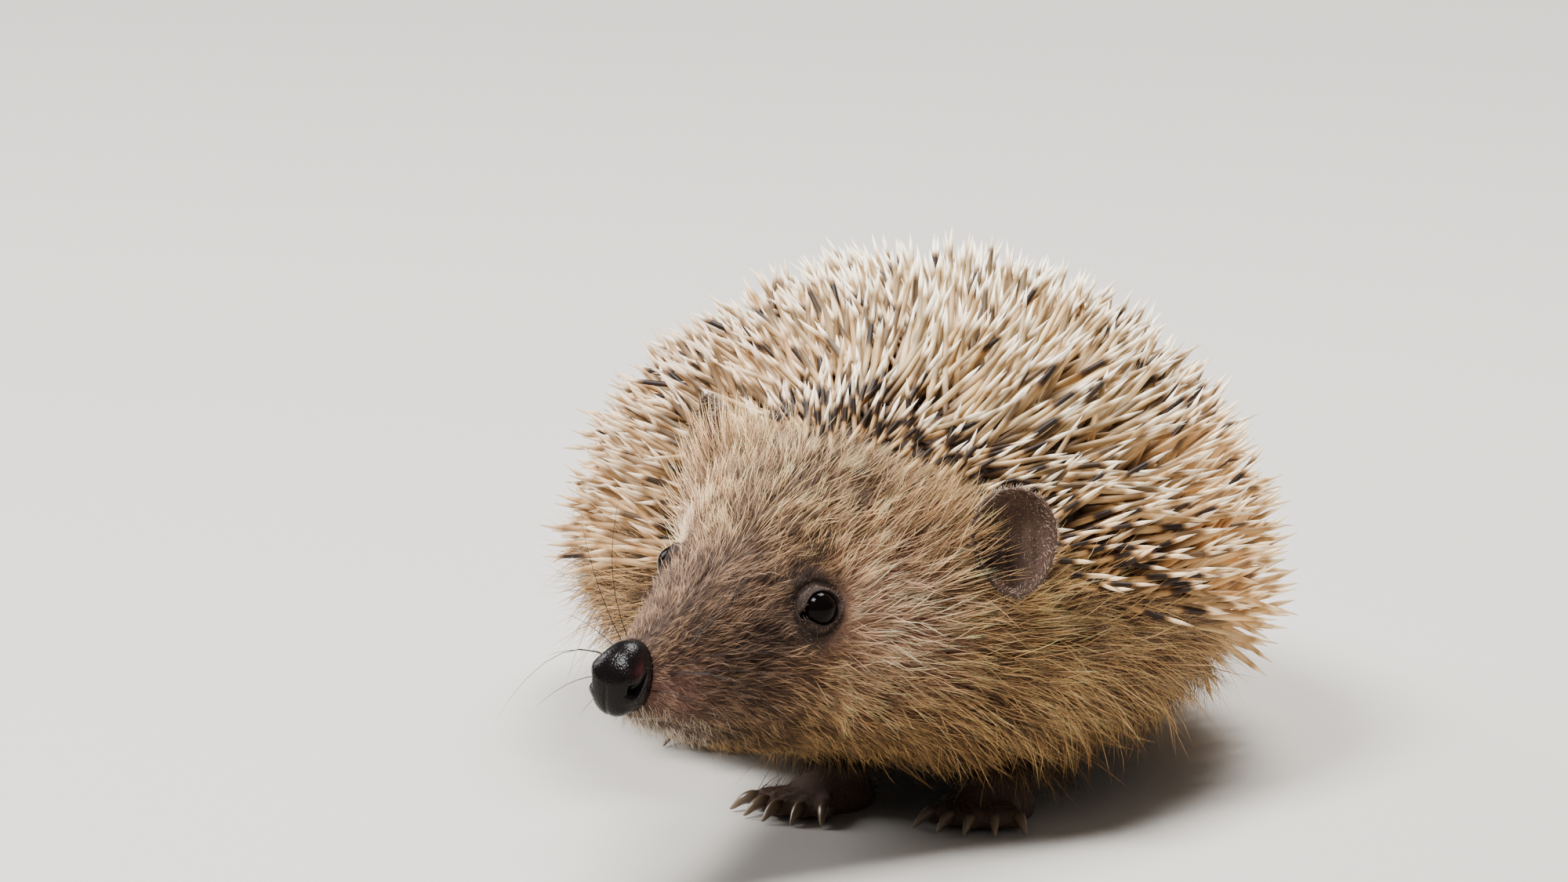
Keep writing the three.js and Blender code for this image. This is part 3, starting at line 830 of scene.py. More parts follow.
def leg_surfaces(name):
    """A leg from hip to ankle, the foot's pad and its five toes, as closed surfaces."""
    at, out, height, thick, bend, ankle, behind, *_ = LEGS[name]
    matrix, origin = foot_frame(name)
    hip = place(at, out, height)
    foot = np.array([0, behind, ANKLE_HEIGHT]) @ matrix.T + origin
    knee = (hip + foot) / 2 - back_at(np.array(float(at))) * bend
    rows = [
        (*hip, thick),
        (*(hip + (knee - hip) * 0.6), thick),
        (*knee, thick * 0.86),
        (*(knee + (foot - knee) * 0.55), ankle * 1.12),
        (*foot, ankle),
        (*(foot - [0, 0, ANKLE_HEIGHT / 2]), ankle * 0.8),
    ]
    knots = smooth_path(rows, 30)
    parts = [tube(knots[:, :3], knots[:, 3], 24)]
    length, width, high, _, _ = FEET[name[:4]]
    centre = np.array([0, length * 0.06, SOLE_SINK]) @ matrix.T + origin
    parts.append(ellipsoid(centre, (width / 2 - 0.3, length / 2 - 0.3, high - 0.3), matrix))
    for spread in np.linspace(-1, 1, 5):
        root, ahead, toe, _ = toe_points(name, spread)
        rows = [
            (0, TOE_THICK + 0.5, TOE_THICK - 0.1),
            (toe * 0.35, TOE_THICK + 0.45, TOE_THICK - 0.2),
            (toe * 0.7, TOE_THICK + 0.15, TOE_THICK - 0.05),
            (toe * 0.95, TOE_THICK, TOE_THICK - 0.25),
            (toe * 1.06, TOE_THICK, TOE_THICK - 0.8),
        ]
        knots = smooth_path([(*(root + ahead * far + [0, 0, z]), radius) for far, z, radius in rows], 16)
        parts.append(tube(knots[:, :3] @ matrix.T + origin, knots[:, 3], 14))
    return parts


def tail_surface():
    """The short tail, drooping back to a blunt tip."""
    at = np.array(float(TAIL["at"]))
    droop = np.radians(TAIL["droop"])
    back = back_at(at) * np.cos(droop) - np.array([0, 0, np.sin(droop)])
    knots = smooth_path([(0, 1), (0.4, 0.92), (0.75, 0.72), (0.93, 0.42), (0.99, 0.15)], 18)
    path = place(at, 0, TAIL["height"]) + back * knots[:, :1] * TAIL["length"]
    return tube(path, knots[:, 1] * TAIL["radius"], 16)


def remeshed(points, triangles, voxel):
    """Overlapping closed surfaces grown together into one, by voxels of a size in millimetres."""
    mesh = new_mesh("grown", points, triangles)
    piece = bpy.data.objects.new("grown", mesh)
    bpy.context.scene.collection.objects.link(piece)
    modifier = piece.modifiers.new("grow", "REMESH")
    modifier.mode = "VOXEL"
    modifier.voxel_size = voxel * MM
    graph = bpy.context.evaluated_depsgraph_get()
    made = bpy.data.meshes.new_from_object(piece.evaluated_get(graph))
    bpy.data.objects.remove(piece)
    bpy.data.meshes.remove(mesh)
    return made


def points_of(mesh):
    """A mesh's vertices in millimetres."""
    flat = np.empty(len(mesh.vertices) * 3, np.float32)
    mesh.vertices.foreach_get("co", flat)
    return flat.reshape(-1, 3).astype(float) / MM


def set_points(mesh, points):
    """Puts vertices, in millimetres, back in a mesh."""
    mesh.vertices.foreach_set("co", (points * MM).astype(np.float32).ravel())
    mesh.update()


def normals_of(mesh):
    """A mesh's vertex normals."""
    flat = np.empty(len(mesh.vertices) * 3, np.float32)
    mesh.vertex_normals.foreach_get("vector", flat)
    return flat.reshape(-1, 3).astype(float)


def relax(mesh, rounds):
    """Evens out voxel steps: each vertex goes towards the mean of its neighbours, then back a little."""
    points = points_of(mesh)
    ends = np.empty(len(mesh.edges) * 2, np.int32)
    mesh.edges.foreach_get("vertices", ends)
    a, b = ends.reshape(-1, 2).T
    count = np.maximum(np.bincount(np.r_[a, b], minlength=len(points)), 1)[:, None]
    for turn in range(rounds * 2):
        mean = np.stack(
            [np.bincount(np.r_[a, b], np.r_[points[b, k], points[a, k]], len(points)) for k in range(3)], -1
        )
        points = points + (mean / count - points) * (0.55 if turn % 2 == 0 else -0.57)
    set_points(mesh, points)


def refine(mesh, chosen, cuts):
    """Splits the edges between chosen vertices into finer ones."""
    work = bmesh.new()
    work.from_mesh(mesh)
    work.verts.ensure_lookup_table()
    edges = [e for e in work.edges if chosen[e.verts[0].index] and chosen[e.verts[1].index]]
    bmesh.ops.subdivide_edges(work, edges=edges, cuts=cuts, use_grid_fill=True)
    bmesh.ops.triangulate(work, faces=[f for f in work.faces if len(f.verts) > 4])
    work.to_mesh(mesh)
    work.free()
    mesh.update()


def eye_frame(side):
    """The eye's centre and its axes: out of the head, to the rear, and up."""
    at = np.array(EYE_AT)
    out = unit(left_at(at) * side * 0.84 - back_at(at) * 0.40 + np.array([0, 0, 0.33 - 0.1 * side]))
    rear = unit(back_at(at) - out * (back_at(at) @ out))
    up = np.cross(out, rear) * side
    return eye_centre(side) + SHIFT, out, rear, np.where(up[2] < 0, -up, up)


def form_lids(points):
    """Raises the lids round each eyeball and sinks the skin inside them.

    Seen along the eye's axis the skin is a height: a dome just outside the eyeball, cut by an
    opening that is nearly round and drawn out to a corner in front, with a rolled rim and a
    fold above and below.
    """
    for side in (1, -1):
        centre, out, rear, up = eye_frame(side)
        local = points - centre
        depth, u, v = local @ out, local @ rear, local @ up
        near = (np.linalg.norm(local, axis=1) < 7) & (depth > -2.2)
        depth, u, v = depth[near], u[near], v[near]
        reach = np.hypot(u / 1.12, v)
        turn = np.degrees(np.arctan2(v, -u))
        opening = 1.93 + 0.62 * bump(turn, -8, 15) + 0.15 * bump(np.abs(turn), 180, 24)
        dome = np.sqrt(np.maximum((EYE_RADIUS + 0.2) ** 2 - reach**2, 0.01))
        lid = dome + (depth - dome) * smoothstep(reach, 2.35, 4.6)
        lid = lid + 0.16 * bump(reach, opening + 0.42, 0.24)
        lid = lid - 0.24 * bump(reach, 3.35, 0.32) * smoothstep(v, 0.2, 1.4)
        lid = lid - 0.16 * bump(reach, 3.2, 0.3) * smoothstep(-v, 0.4, 1.5)
        inner = np.sqrt(np.maximum((EYE_RADIUS - 0.4) ** 2 - reach**2, 0.0))
        inner = np.where(reach > EYE_RADIUS - 0.45, np.minimum(inner, 0.9), inner)
        height = inner + (lid - inner) * smoothstep(reach, opening - 0.02, opening + 0.3)
        points[near] += out * (height - depth)[:, None]


def form_mouth(points, normals):
    """Presses the mouth's line into the muzzle, from under the nose back to the corner."""
    at, _, height = locate(points)
    share = np.clip((at - MOUTH["from"]) / (MOUTH["corner"] - MOUTH["from"]), 0, 1)
    line = MOUTH["lip"] + (MOUTH["corner_height"] - MOUTH["lip"]) * share - 0.7 * np.sin(np.pi * share)
    depth = 0.75 * bump(height, line, 0.42) * smoothstep(at, MOUTH["from"] - 4, MOUTH["from"] + 1)
    depth = depth * (1 - smoothstep(at, MOUTH["corner"] - 4, MOUTH["corner"] + 1))
    fullness = 0.35 * bump(height, line + 1.5, 1.1) * bump(at, 11, 7)
    points += normals * (fullness - depth)[:, None]


def ear_surface(side):
    """An ear: a cupped oval shell with a rolled rim, a ridge inside and a thick root.

    Its two faces are functions of the turn round the oval and the share of the way out to the
    rim, and meet in a half-round edge.
    """
    turn = np.linspace(0, 2 * np.pi, 64, endpoint=False)[None]
    share = np.linspace(0.03, 1, 26)[:, None]
    x = (EAR["half"] - 0.1) * share * np.cos(turn)
    z = (EAR["tall"] - 0.1) * share * np.sin(turn)
    x = x * (1 + 0.15 * np.sin(turn))
    cup = EAR["deep"] * np.sqrt(np.maximum(1 - share**2, 0)) + 0 * turn
    rim = 0.5 * smoothstep(share, 0.82, 1.0)
    ripple = 0.12 * np.sin(5 * turn + 2 * share) * smoothstep(share, 0.5, 1)
    wall = 0.9 - 0.35 * share
    ridge = 0.9 * bump(x, -side * 1.8, 0.9) * bump(z, -2.5, 3.2)
    ridge = ridge + 0.5 * bump(x, side * 2.4, 0.7) * bump(z, -1, 3.4)
    behind = np.stack([x, cup + ripple - rim, z], -1)
    before = np.stack([x * 0.985, cup - wall - ridge + ripple - rim, z * 0.985], -1)
    edge_angle = np.linspace(0, np.pi, 5)[1:-1, None]
    middle = (behind[-1:] + before[-1:]) / 2
    swing = (behind[-1:] - before[-1:]) / 2
    beyond = unit(behind[-1:] * [1, 0, 1]) * np.linalg.norm(swing, axis=-1, keepdims=True)
    edge = middle + swing * np.cos(edge_angle)[..., None] + beyond * np.sin(edge_angle)[..., None]
    rings = np.concatenate([behind, edge, before[::-1]])
    points, triangles = closed_loft(rings)
    at = np.array(EAR_AT)
    spin = Matrix.Rotation(np.radians(side * EAR["splay"]) - float(heading(at)), 3, "Z")
    lean = Matrix.Rotation(np.radians(-EAR["lean"]), 3, "X")
    matrix = np.array(spin @ lean)
    return points @ matrix.T + place(EAR_AT, side * EAR["out"], EAR["height"]), triangles


def from_ear(spots):
    """Each spot's offset from the middle of the ear on its side."""
    middle = np.stack([place(EAR_AT, s * EAR["out"], EAR["height"]) for s in (1, -1)])
    return spots.points - middle[(spots.side < 0).astype(int)]


def ear_cup_shade(spots):
    """Painted shade for an ear: 1 deep inside its cup, low down and to the front, fading to 0 at its rim
    and behind it.
    """
    offset = from_ear(spots)
    forward = -(offset * back_at(spots.at)).sum(-1)
    outer = (offset * left_at(spots.at)).sum(-1) * spots.side
    inside = smoothstep(-(spots.normals * back_at(spots.at)).sum(-1), -0.2, 0.4)
    return inside * bump(outer, -1.5, 3.6) * bump(offset[:, 2], -2.5, 4.2) * smoothstep(forward, -4, 0)


def outward(points, triangles):
    """The same triangles, turned so that the closed surface's volume counts as positive."""
    a, b, c = (points[triangles[:, k]] for k in range(3))
    return triangles if (a * np.cross(b, c)).sum() > 0 else triangles[:, ::-1]


def triangles_of(mesh):
    """A mesh's triangles as vertex numbers."""
    mesh.calc_loop_triangles()
    flat = np.empty(len(mesh.loop_triangles) * 3, np.int32)
    mesh.loop_triangles.foreach_get("vertices", flat)
    return flat.reshape(-1, 3)


# Size of the voxels that grow the body's surfaces together, in millimetres.
SKIN_VOXEL = 0.73
# What hair grows on, as points, triangles and normals, kept once the skin is made.
GROUND = {}


def build_skin(material):
    """One skin over body, legs, feet and tail, with lids, mouth and ears formed in it."""
    parts = [body_surface(), tail_surface()]
    for name in LEGS:
        parts += leg_surfaces(name)
    parts = [(points, outward(points, triangles)) for points, triangles in parts]
    mesh = remeshed(*joined(parts), SKIN_VOXEL)
    relax(mesh, 4)
    at, _, height = locate(points_of(mesh))
    refine(mesh, (at < 27) & (height < 30), 1)
    points = points_of(mesh)
    eye_gap = np.min([np.linalg.norm(points - SHIFT - eye_centre(s), axis=1) for s in (1, -1)], 0)
    refine(mesh, eye_gap < 6, 3)
    relax(mesh, 1)
    points = points_of(mesh)
    normals = normals_of(mesh)
    points -= normals * (1.3 * (1 - smoothstep(locate(points)[0], 3.2, 5.0)))[:, None]
    form_mouth(points, normals)
    form_lids(points)
    points[:, 2] = np.maximum(points[:, 2], 0)
    set_points(mesh, points)
    body = (points_of(mesh), triangles_of(mesh))
    ears = [ear_surface(side) for side in (1, -1)]
    ears = joined([(points, outward(points, triangles)) for points, triangles in ears])
    points, triangles = joined([body, ears])
    bpy.data.meshes.remove(mesh)
    mesh = new_mesh("skin", points, triangles)
    spots = Spots(points, normals_of(mesh))
    # The skin under the fur is the fur's ground colour darkened to 0.4 to 0.7 of it: painted shade deep in
    # the coat, with less of it on the cheeks.
    tint = spots.ground() * (0.4 + 0.3 * spots.zones()["cheek"])[:, None]
    spiny = spots.spiny()[:, None]
    tint = tint * (1 - spiny) + linear("#3a2c24") * spiny
    lids = (1 - smoothstep(spots.eye_gap, 3.2, 4.2))[:, None]
    tint = tint * (1 - lids) + linear("#2b201b") * lids
    # Near black at the lids' rims and inside their opening: partly the rims' own dark skin, partly painted
    # shade round the eyeball.
    rims = (1 - smoothstep(spots.eye_gap, 2.62, 2.8))[:, None]
    tint = tint * (1 - rims) + linear("#17110f") * rims
    # The ears' skin goes near black deep in the cup: painted shade.
    cup_shade = ear_cup_shade(spots)[len(body[0]) :, None]
    tint[len(body[0]) :] = np.array(user_settings().ear_colour) * (1 - cup_shade) + linear("#1c130e") * cup_shade
    foot = spots.foot[:, None]
    tint = tint * (1 - foot) + np.array(user_settings().foot_colour) * foot
    set_colour(mesh, "tint", tint)
    GROUND["body"] = (*body, spots.normals[: len(body[0])])
    GROUND["ears"] = (*ears, spots.normals[len(body[0]) :])
    nodes = ["head", "lower_jaw", "neck", "trunk", "tail"]
    for word in ("left", "right"):
        nodes += [f"{part}_{word}" for part in ("ear", "forefoot", "hindfoot", "foreleg", "hindleg")]
    new_piece("skin", mesh, material, nodes)


# ---- growing hairs and spines -------------------------------------------------------

# Sides of a shaft's cross-section.
HAIR_SIDES, WHISKER_SIDES, SPINE_SIDES = 3, 4, 5
# Hairs of the ears' velvet per square millimetre, and their radius in millimetres.
FUZZ_DENSITY, FUZZ_RADIUS = 9.0, 0.056
# Spine roots tried per square millimetre, before those too near to others are dropped.
SPINES_TRIED = 1.5


def roots_on(ground, density, seed):
    """Spots strewn over a surface, as many per square millimetre as density gives at a Spots.

    Triangles are taken in order by their share of the whole, one point in each equal step.
    """
    rng = np.random.default_rng(seed)
    points, triangles, normals = GROUND[ground]
    corners = points[triangles]
    first, second = corners[:, 1] - corners[:, 0], corners[:, 2] - corners[:, 0]
    area = np.linalg.norm(np.cross(first, second), axis=1) / 2
    if "middles_of_" + ground not in GROUND:
        GROUND["middles_of_" + ground] = Spots(corners.mean(1), unit(normals[triangles].mean(1)))
    total = np.cumsum(area * density(GROUND["middles_of_" + ground]))
    count = int(total[-1])
    chosen = np.searchsorted(total, (np.arange(count) + rng.random(count)) / count * total[-1])
    chosen = np.minimum(chosen, len(triangles) - 1)
    u, v = rng.random(count), rng.random(count)
    over = u + v > 1
    u[over], v[over] = 1 - u[over], 1 - v[over]
    share = np.stack([1 - u - v, u, v], -1)[..., None]
    return Spots((corners[chosen] * share).sum(1), unit((normals[triangles[chosen]] * share).sum(1)))


def strand_mesh(name, lines, radii, sides, normals, uv, tint, numbers=()):
    """Closed tapering tubes, one for each of N centre lines, as one mesh.

    lines is N by K by 3 and radii N by K - 1: each centre line has a ring of so many sides at
    every point but its last, which is the tip. The root end is capped. tint is N by K by 3, and
    numbers are (attribute name, N by K) pairs.
    """
    count, knots = lines.shape[:2]
    rings = knots - 1
    lines = lines.copy()
    lines[..., 2] = np.maximum(lines[..., 2], FLOOR_GAP)
    way = unit(np.gradient(lines, axis=1))
    across = unit(np.cross(way, normals[:, None]))
    other = np.cross(way, across)
    angle = np.linspace(0, 2 * np.pi, sides, endpoint=False)
    ring = np.cos(angle)[:, None] * across[:, :rings, None]
    ring = ring + np.sin(angle)[:, None] * other[:, :rings, None]
    walls = lines[:, :rings, None] + ring * radii[..., None, None]
    points = np.concatenate([walls.reshape(count, -1, 3), lines[:, -1:]], 1)
    each = points.shape[1]
    k = np.arange(sides)
    j = (k + 1) % sides
    face = []
    for r in range(rings - 1):
        a, b = r * sides + k, r * sides + j
        face += [np.stack([a, b, b + sides], -1), np.stack([a, b + sides, a + sides], -1)]
    last = (rings - 1) * sides
    face.append(np.stack([last + k, last + j, np.full(sides, each - 1)], -1))
    face.append(np.stack([np.zeros(sides - 2, int), k[2:], k[1:-1]], -1))
    face = np.concatenate(face)
    triangles = (face[None] + (np.arange(count) * each)[:, None, None]).reshape(-1, 3)
    mesh = new_mesh(name, points.reshape(-1, 3), triangles)
    around = np.append(np.tile(k / sides, rings), 0.5)
    far = np.append(np.repeat(np.arange(rings) / rings, sides), 1.0)
    patch = PATCH * (np.stack([around, far], -1) - 0.5)
    set_map(mesh, (uv[:, None] + patch[None]).reshape(-1, 2))

    def at_vertices(values):
        """Values at the centre lines' points, carried to the rings round them."""
        return np.concatenate([np.repeat(values[:, :rings], sides, 1), values[:, -1:]], 1)

    set_colour(mesh, "tint", at_vertices(tint).reshape(-1, 3))
    for label, values in numbers:
        set_number(mesh, label, at_vertices(values).ravel())
    return mesh


def turned_about(vectors, axes, angles):
    """Vectors turned about unit axes by angles (Rodrigues' formula)."""
    cos, sin = np.cos(angles)[:, None], np.sin(angles)[:, None]
    return (
        vectors * cos
        + np.cross(axes, vectors) * sin
        + axes * (axes * vectors).sum(-1, keepdims=True) * (1 - cos)
    )


def swirl(points, wave):
    """A smooth wandering number about -1 to 1 over the body: three crossed sine waves, in mm."""
    x, y, z = (points / wave).T
    first = np.sin(x + 1.7 * np.sin(y))
    second = np.sin(y * 1.3 + 1.4 * np.sin(z + 1))
    return (first + second + np.sin(z * 1.6 + x * 0.7)) / 3


def locked(spots, size, rng):
    """A number for each hair's lock: hairs share one where they root in the same jittered cell."""
    around = spots.turn / 90 * half_reach(spots.at)[0] * 1.4
    jitter = rng.normal(0, 0.16 * size, (2, len(spots.at)))
    across = np.floor(around / size + 0.5 * (np.floor(spots.at / size) % 2) + jitter[1] / size)
    cells = np.stack([np.floor((spots.at + jitter[0]) / size), across, spots.side], -1)
    return np.unique(cells, axis=0, return_inverse=True)[1].ravel()


class Family:
    """One kind of hair: how dense, thick, long, raised, spread and pale it is."""

    def __init__(self, on_head, on_body, thick, share, lift, spread, pale, cling, knots=2):
        """Keeps the family's measures.

        on_head and on_body are hairs per square millimetre; thick is in millimetres; share is of
        the coat's length; lift and spread are in degrees; pale is the range of straw at the tips;
        cling is how far a lock's tips draw together; knots is the number of segments.
        """
        self.on_head, self.on_body = on_head, on_body
        self.thick, self.share, self.lift, self.spread = thick, share, lift, spread
        self.pale, self.cling, self.knots = pale, cling, knots

    def density(self, spots):
        """Hairs per square millimetre: fewer on the body, and fewer still under the belly."""
        density = self.on_head + (self.on_body - self.on_head) * smoothstep(spots.at, 44, 78)
        density = density * (1 + 0.7 * (1 - smoothstep(spots.at, 12, 26)))
        density = density * (1 + 2.2 * (1 - smoothstep(spots.eye_gap, 3.4, 6.4)))
        bare = 0.6 * smoothstep(-spots.turn, 62, 86) * smoothstep(spots.at, 30, 50)
        return density * spots.furry() * (1 - bare)

    def grow(self, spots, seed):
        """Centre lines, radii and tints: stiff hairs that start raised and bend down to the coat.

        Hairs of a lock share a way, a height and a paleness, and their tips draw together.
        """
        rng = np.random.default_rng(seed)
        count = len(spots.at)
        lock = locked(spots, 0.8 + 0.16 * spots.length().mean(), rng)
        way, raised, paler, brighter = rng.normal(0, 1, (4, lock.max() + 1))[:, lock]
        short = 1 - smoothstep(spots.at, 12, 32)
        crown = bump(spots.at, 48, 11) * smoothstep(spots.turn, 12, 40)
        length = spots.length() * self.share * rng.uniform(0.62, 1.12, count) * (1 + 0.2 * crown)
        angle = self.spread * (0.75 * rng.normal(0, 1, count) + 0.65 * way) + 8 * swirl(spots.points, 3.1)
        lie = turned_about(spots.lie(), spots.normals, np.radians(angle))
        rise = self.lift + rng.normal(0, 5, count) + 5 * raised + 9 * short
        rise = np.radians(rise + 8 * crown + 5 * crown * (spots.side < 0))
        start = unit(lie * np.cos(rise * 1.35)[:, None] + spots.normals * np.sin(rise * 1.35)[:, None])
        end = unit(lie * np.cos(rise * 0.6)[:, None] + spots.normals * np.sin(rise * 0.6)[:, None])
        end = unit(end + np.array([0, 0, -0.06]) + rng.normal(0, 0.06, (count, 3)))
        t = np.linspace(0, 1, self.knots + 1)[None, :, None]
        reach = length[:, None, None]
        root = spots.points - spots.normals * 0.25
        tips = root + reach[:, 0] * (start + end) / 2
        number = np.bincount(lock)
        middle = np.stack([np.bincount(lock, tips[:, k]) / number for k in range(3)], -1)[lock]
        pull = self.cling * rng.uniform(0.3, 1.0, (count, 1)) * (number[lock, None] > 2)
        drawn = (middle - tips) * pull
        lines = root[:, None] + reach * (start[:, None] * t + (end - start)[:, None] * t**2 / 2)
        lines = lines + drawn[:, None] * t
        radius = self.thick / 2 * np.clip(length / 6, 0.55, 1.1) * rng.uniform(0.8, 1.2, count)
        taper = np.array([0.9, 1.0, 0.75])[: self.knots]
        low, high = self.pale
        zones = spots.zones()
        more = 0.22 * paler + 0.42 * zones["cheek"] - 0.12 * zones["temple"] - 0.1 * (1 - zones["face"])
        pale = (low + (high - low) * smoothstep(rng.random(count) + more, 0.4, 0.92))[:, None, None]
        late = (0.8 * zones["brow"] + 0.7 * zones["temple"])[:, None, None]
        mixed = np.clip(pale * t ** (1 + late), 0, 1.1)
        ground, straw = spots.ground()[:, None], spots.straw()[:, None]
        lit = zones["cheek"][:, None, None]
        # Each hair darkens from tip to root, to 0.28 of the ground colour at the root and less on the
        # cheeks: partly the hair's own darker base, partly painted shade deep in the coat.
        dark = ground * (0.28 + 0.36 * lit + (0.75 - 0.3 * lit) * t)
        tint = dark * (1 - mixed) + straw * mixed * 1.25
        tint = tint * np.exp(0.12 * brighter[:, None, None] + rng.normal(0, 0.12, (count, 1, 1)))
        warm = rng.normal(0, 0.05, (count, 1, 1)) * np.array([1, 0.2, -1])
        return lines, radius[:, None] * taper[None], np.clip(tint * (1 + warm), 0.003, 0.9)


class Ruff(Family):
    """Long pale hairs in front of the ears, which stand off the head and fall across them."""

    def density(self, spots):
        """Hairs per square millimetre, in a patch before each ear."""
        return self.on_head * bump(spots.at, 46, 3.4) * bump(spots.turn, 38, 24) * spots.furry()

    def grow(self, spots, seed):
        """As the other hairs, but longer and higher, most of all on the right."""
        lines, radii, tint = super().grow(spots, seed)
        lean = (0.16 + 0.22 * (spots.side < 0))[:, None, None] * spots.normals[:, None]
        far = np.linspace(0, 1, self.knots + 1)[None, :, None]
        reach = np.linalg.norm(lines[:, -1:] - lines[:, :1], axis=-1, keepdims=True)
        return lines + lean * far * reach, radii, tint


FAMILIES = {
    "under": Family(5.8, 2.4, 0.19, 0.5, 27, 14, (0.0, 0.35), 0.2, 1),
    "straw": Family(7.6, 4.1, 0.096, 1.0, 20, 17, (0.05, 1.15), 0.62),
    "guard": Family(1.0, 0.7, 0.1, 1.2, 25, 24, (0.75, 1.2), 0.15, 3),
    "ruff": Ruff(4.0, 0.0, 0.105, 1.1, 34, 17, (0.45, 1.2), 0.4, 3),
}
# Regions of the coat: name, from and to along the body.
REGIONS = (
    ("muzzle", -10, 22),
    ("face", 22, 36),
    ("cheeks", 36, 50),
    ("neck", 50, 70),
    ("flank", 70, 108),
    ("rump", 108, 220),
)
WHOLE_COAT = (("coat", -10, 220),)


def build_fur(material):
    """Dark underfur, straw-tipped hairs, long pale guard hairs and ruffs, by region and side."""
    for number, (kind, family) in enumerate(FAMILIES.items()):
        spots = roots_on("body", family.density, seed=11 + number)
        lines, radii, tint = family.grow(spots, seed=100 + number)
        places = spots.map_place()
        regions = REGIONS if kind in ("under", "straw") else WHOLE_COAT
        for region, low, high in regions:
            for word, side in (("left", 1), ("right", -1)):
                chosen = (spots.at >= low) & (spots.at < high) & (spots.side == side)
                name = f"{kind}_{region}_{word}"
                mesh = strand_mesh(
                    name,
                    lines[chosen],
                    radii[chosen],
                    HAIR_SIDES,
                    spots.normals[chosen],
                    places[chosen],
                    tint[chosen],
                )
                new_piece(name, mesh, material)


def build_ear_fuzz(material):
    """The velvet of the ears: hairs under a millimetre, dark, flecked with grey, paler at the rim, and
    darkened deep in the cup by painted shade.
    """
    spots = roots_on("ears", lambda spots: FUZZ_DENSITY + 0 * spots.at, seed=61)
    rng = np.random.default_rng(62)
    count = len(spots.at)
    offset = from_ear(spots)
    across = np.hypot(offset[:, 0], offset[:, 1]) / EAR["half"]
    rim = smoothstep(np.hypot(across, offset[:, 2] / EAR["tall"]), 0.78, 1.0)
    lie = unit(offset * [0.5, 0.5, 0.6] + np.array([0, 0, 3.0]) + back_at(spots.at) * 1.5)
    lie = turned_about(lie, spots.normals, np.radians(rng.normal(0, 34, count)))
    lie = unit(lie - spots.normals * (lie * spots.normals).sum(-1, keepdims=True))
    rise = np.radians(rng.uniform(30, 75, count))[:, None]
    way = unit(lie * np.cos(rise) + spots.normals * np.sin(rise))
    length = rng.uniform(0.35, 0.7, count) * (1 + 0.5 * rim)
    t = np.array([0, 1.0])[None, :, None]
    lines = (spots.points - spots.normals * 0.1)[:, None] + length[:, None, None] * way[:, None] * t
    radii = FUZZ_RADIUS * rng.uniform(0.7, 1.2, (count, 1))
    pale = (rng.random(count) < 0.3 + 0.2 * rim)[:, None]
    shade = np.where(pale, linear("#c5b09c"), linear("#664d3f")) * rng.uniform(0.5, 1.4, (count, 1))
    # Hairs deep in the ear's cup are darkened: painted shade.
    shade = shade * (1 - 0.8 * ear_cup_shade(spots))[:, None]
    tint = shade[:, None] * np.array([0.6, 1.15])[None, :, None]
    places = spots.map_place()
    mesh = strand_mesh("ear_fuzz", lines, radii, HAIR_SIDES, spots.normals, places, tint)
    new_piece("ear_fuzz", mesh, material)


def spread_out(spots, gap, seed):
    """The points left when each in a random order is dropped if a kept one is nearer than the gap."""
    order = np.random.default_rng(seed).permutation(len(spots.at))
    cells, kept = {}, []
    keys = np.floor(spots.points / gap).astype(int)
    for i in order:
        x, y, z = keys[i]
        point = spots.points[i]
        near = (
            j
            for a in (x - 1, x, x + 1)
            for b in (y - 1, y, y + 1)
            for c in (z - 1, z, z + 1)
            for j in cells.get((a, b, c), ())
        )
        if all(((spots.points[j] - point) ** 2).sum() > gap * gap for j in near):
            cells.setdefault((x, y, z), []).append(i)
            kept.append(i)
    return spots.pick(np.array(kept))


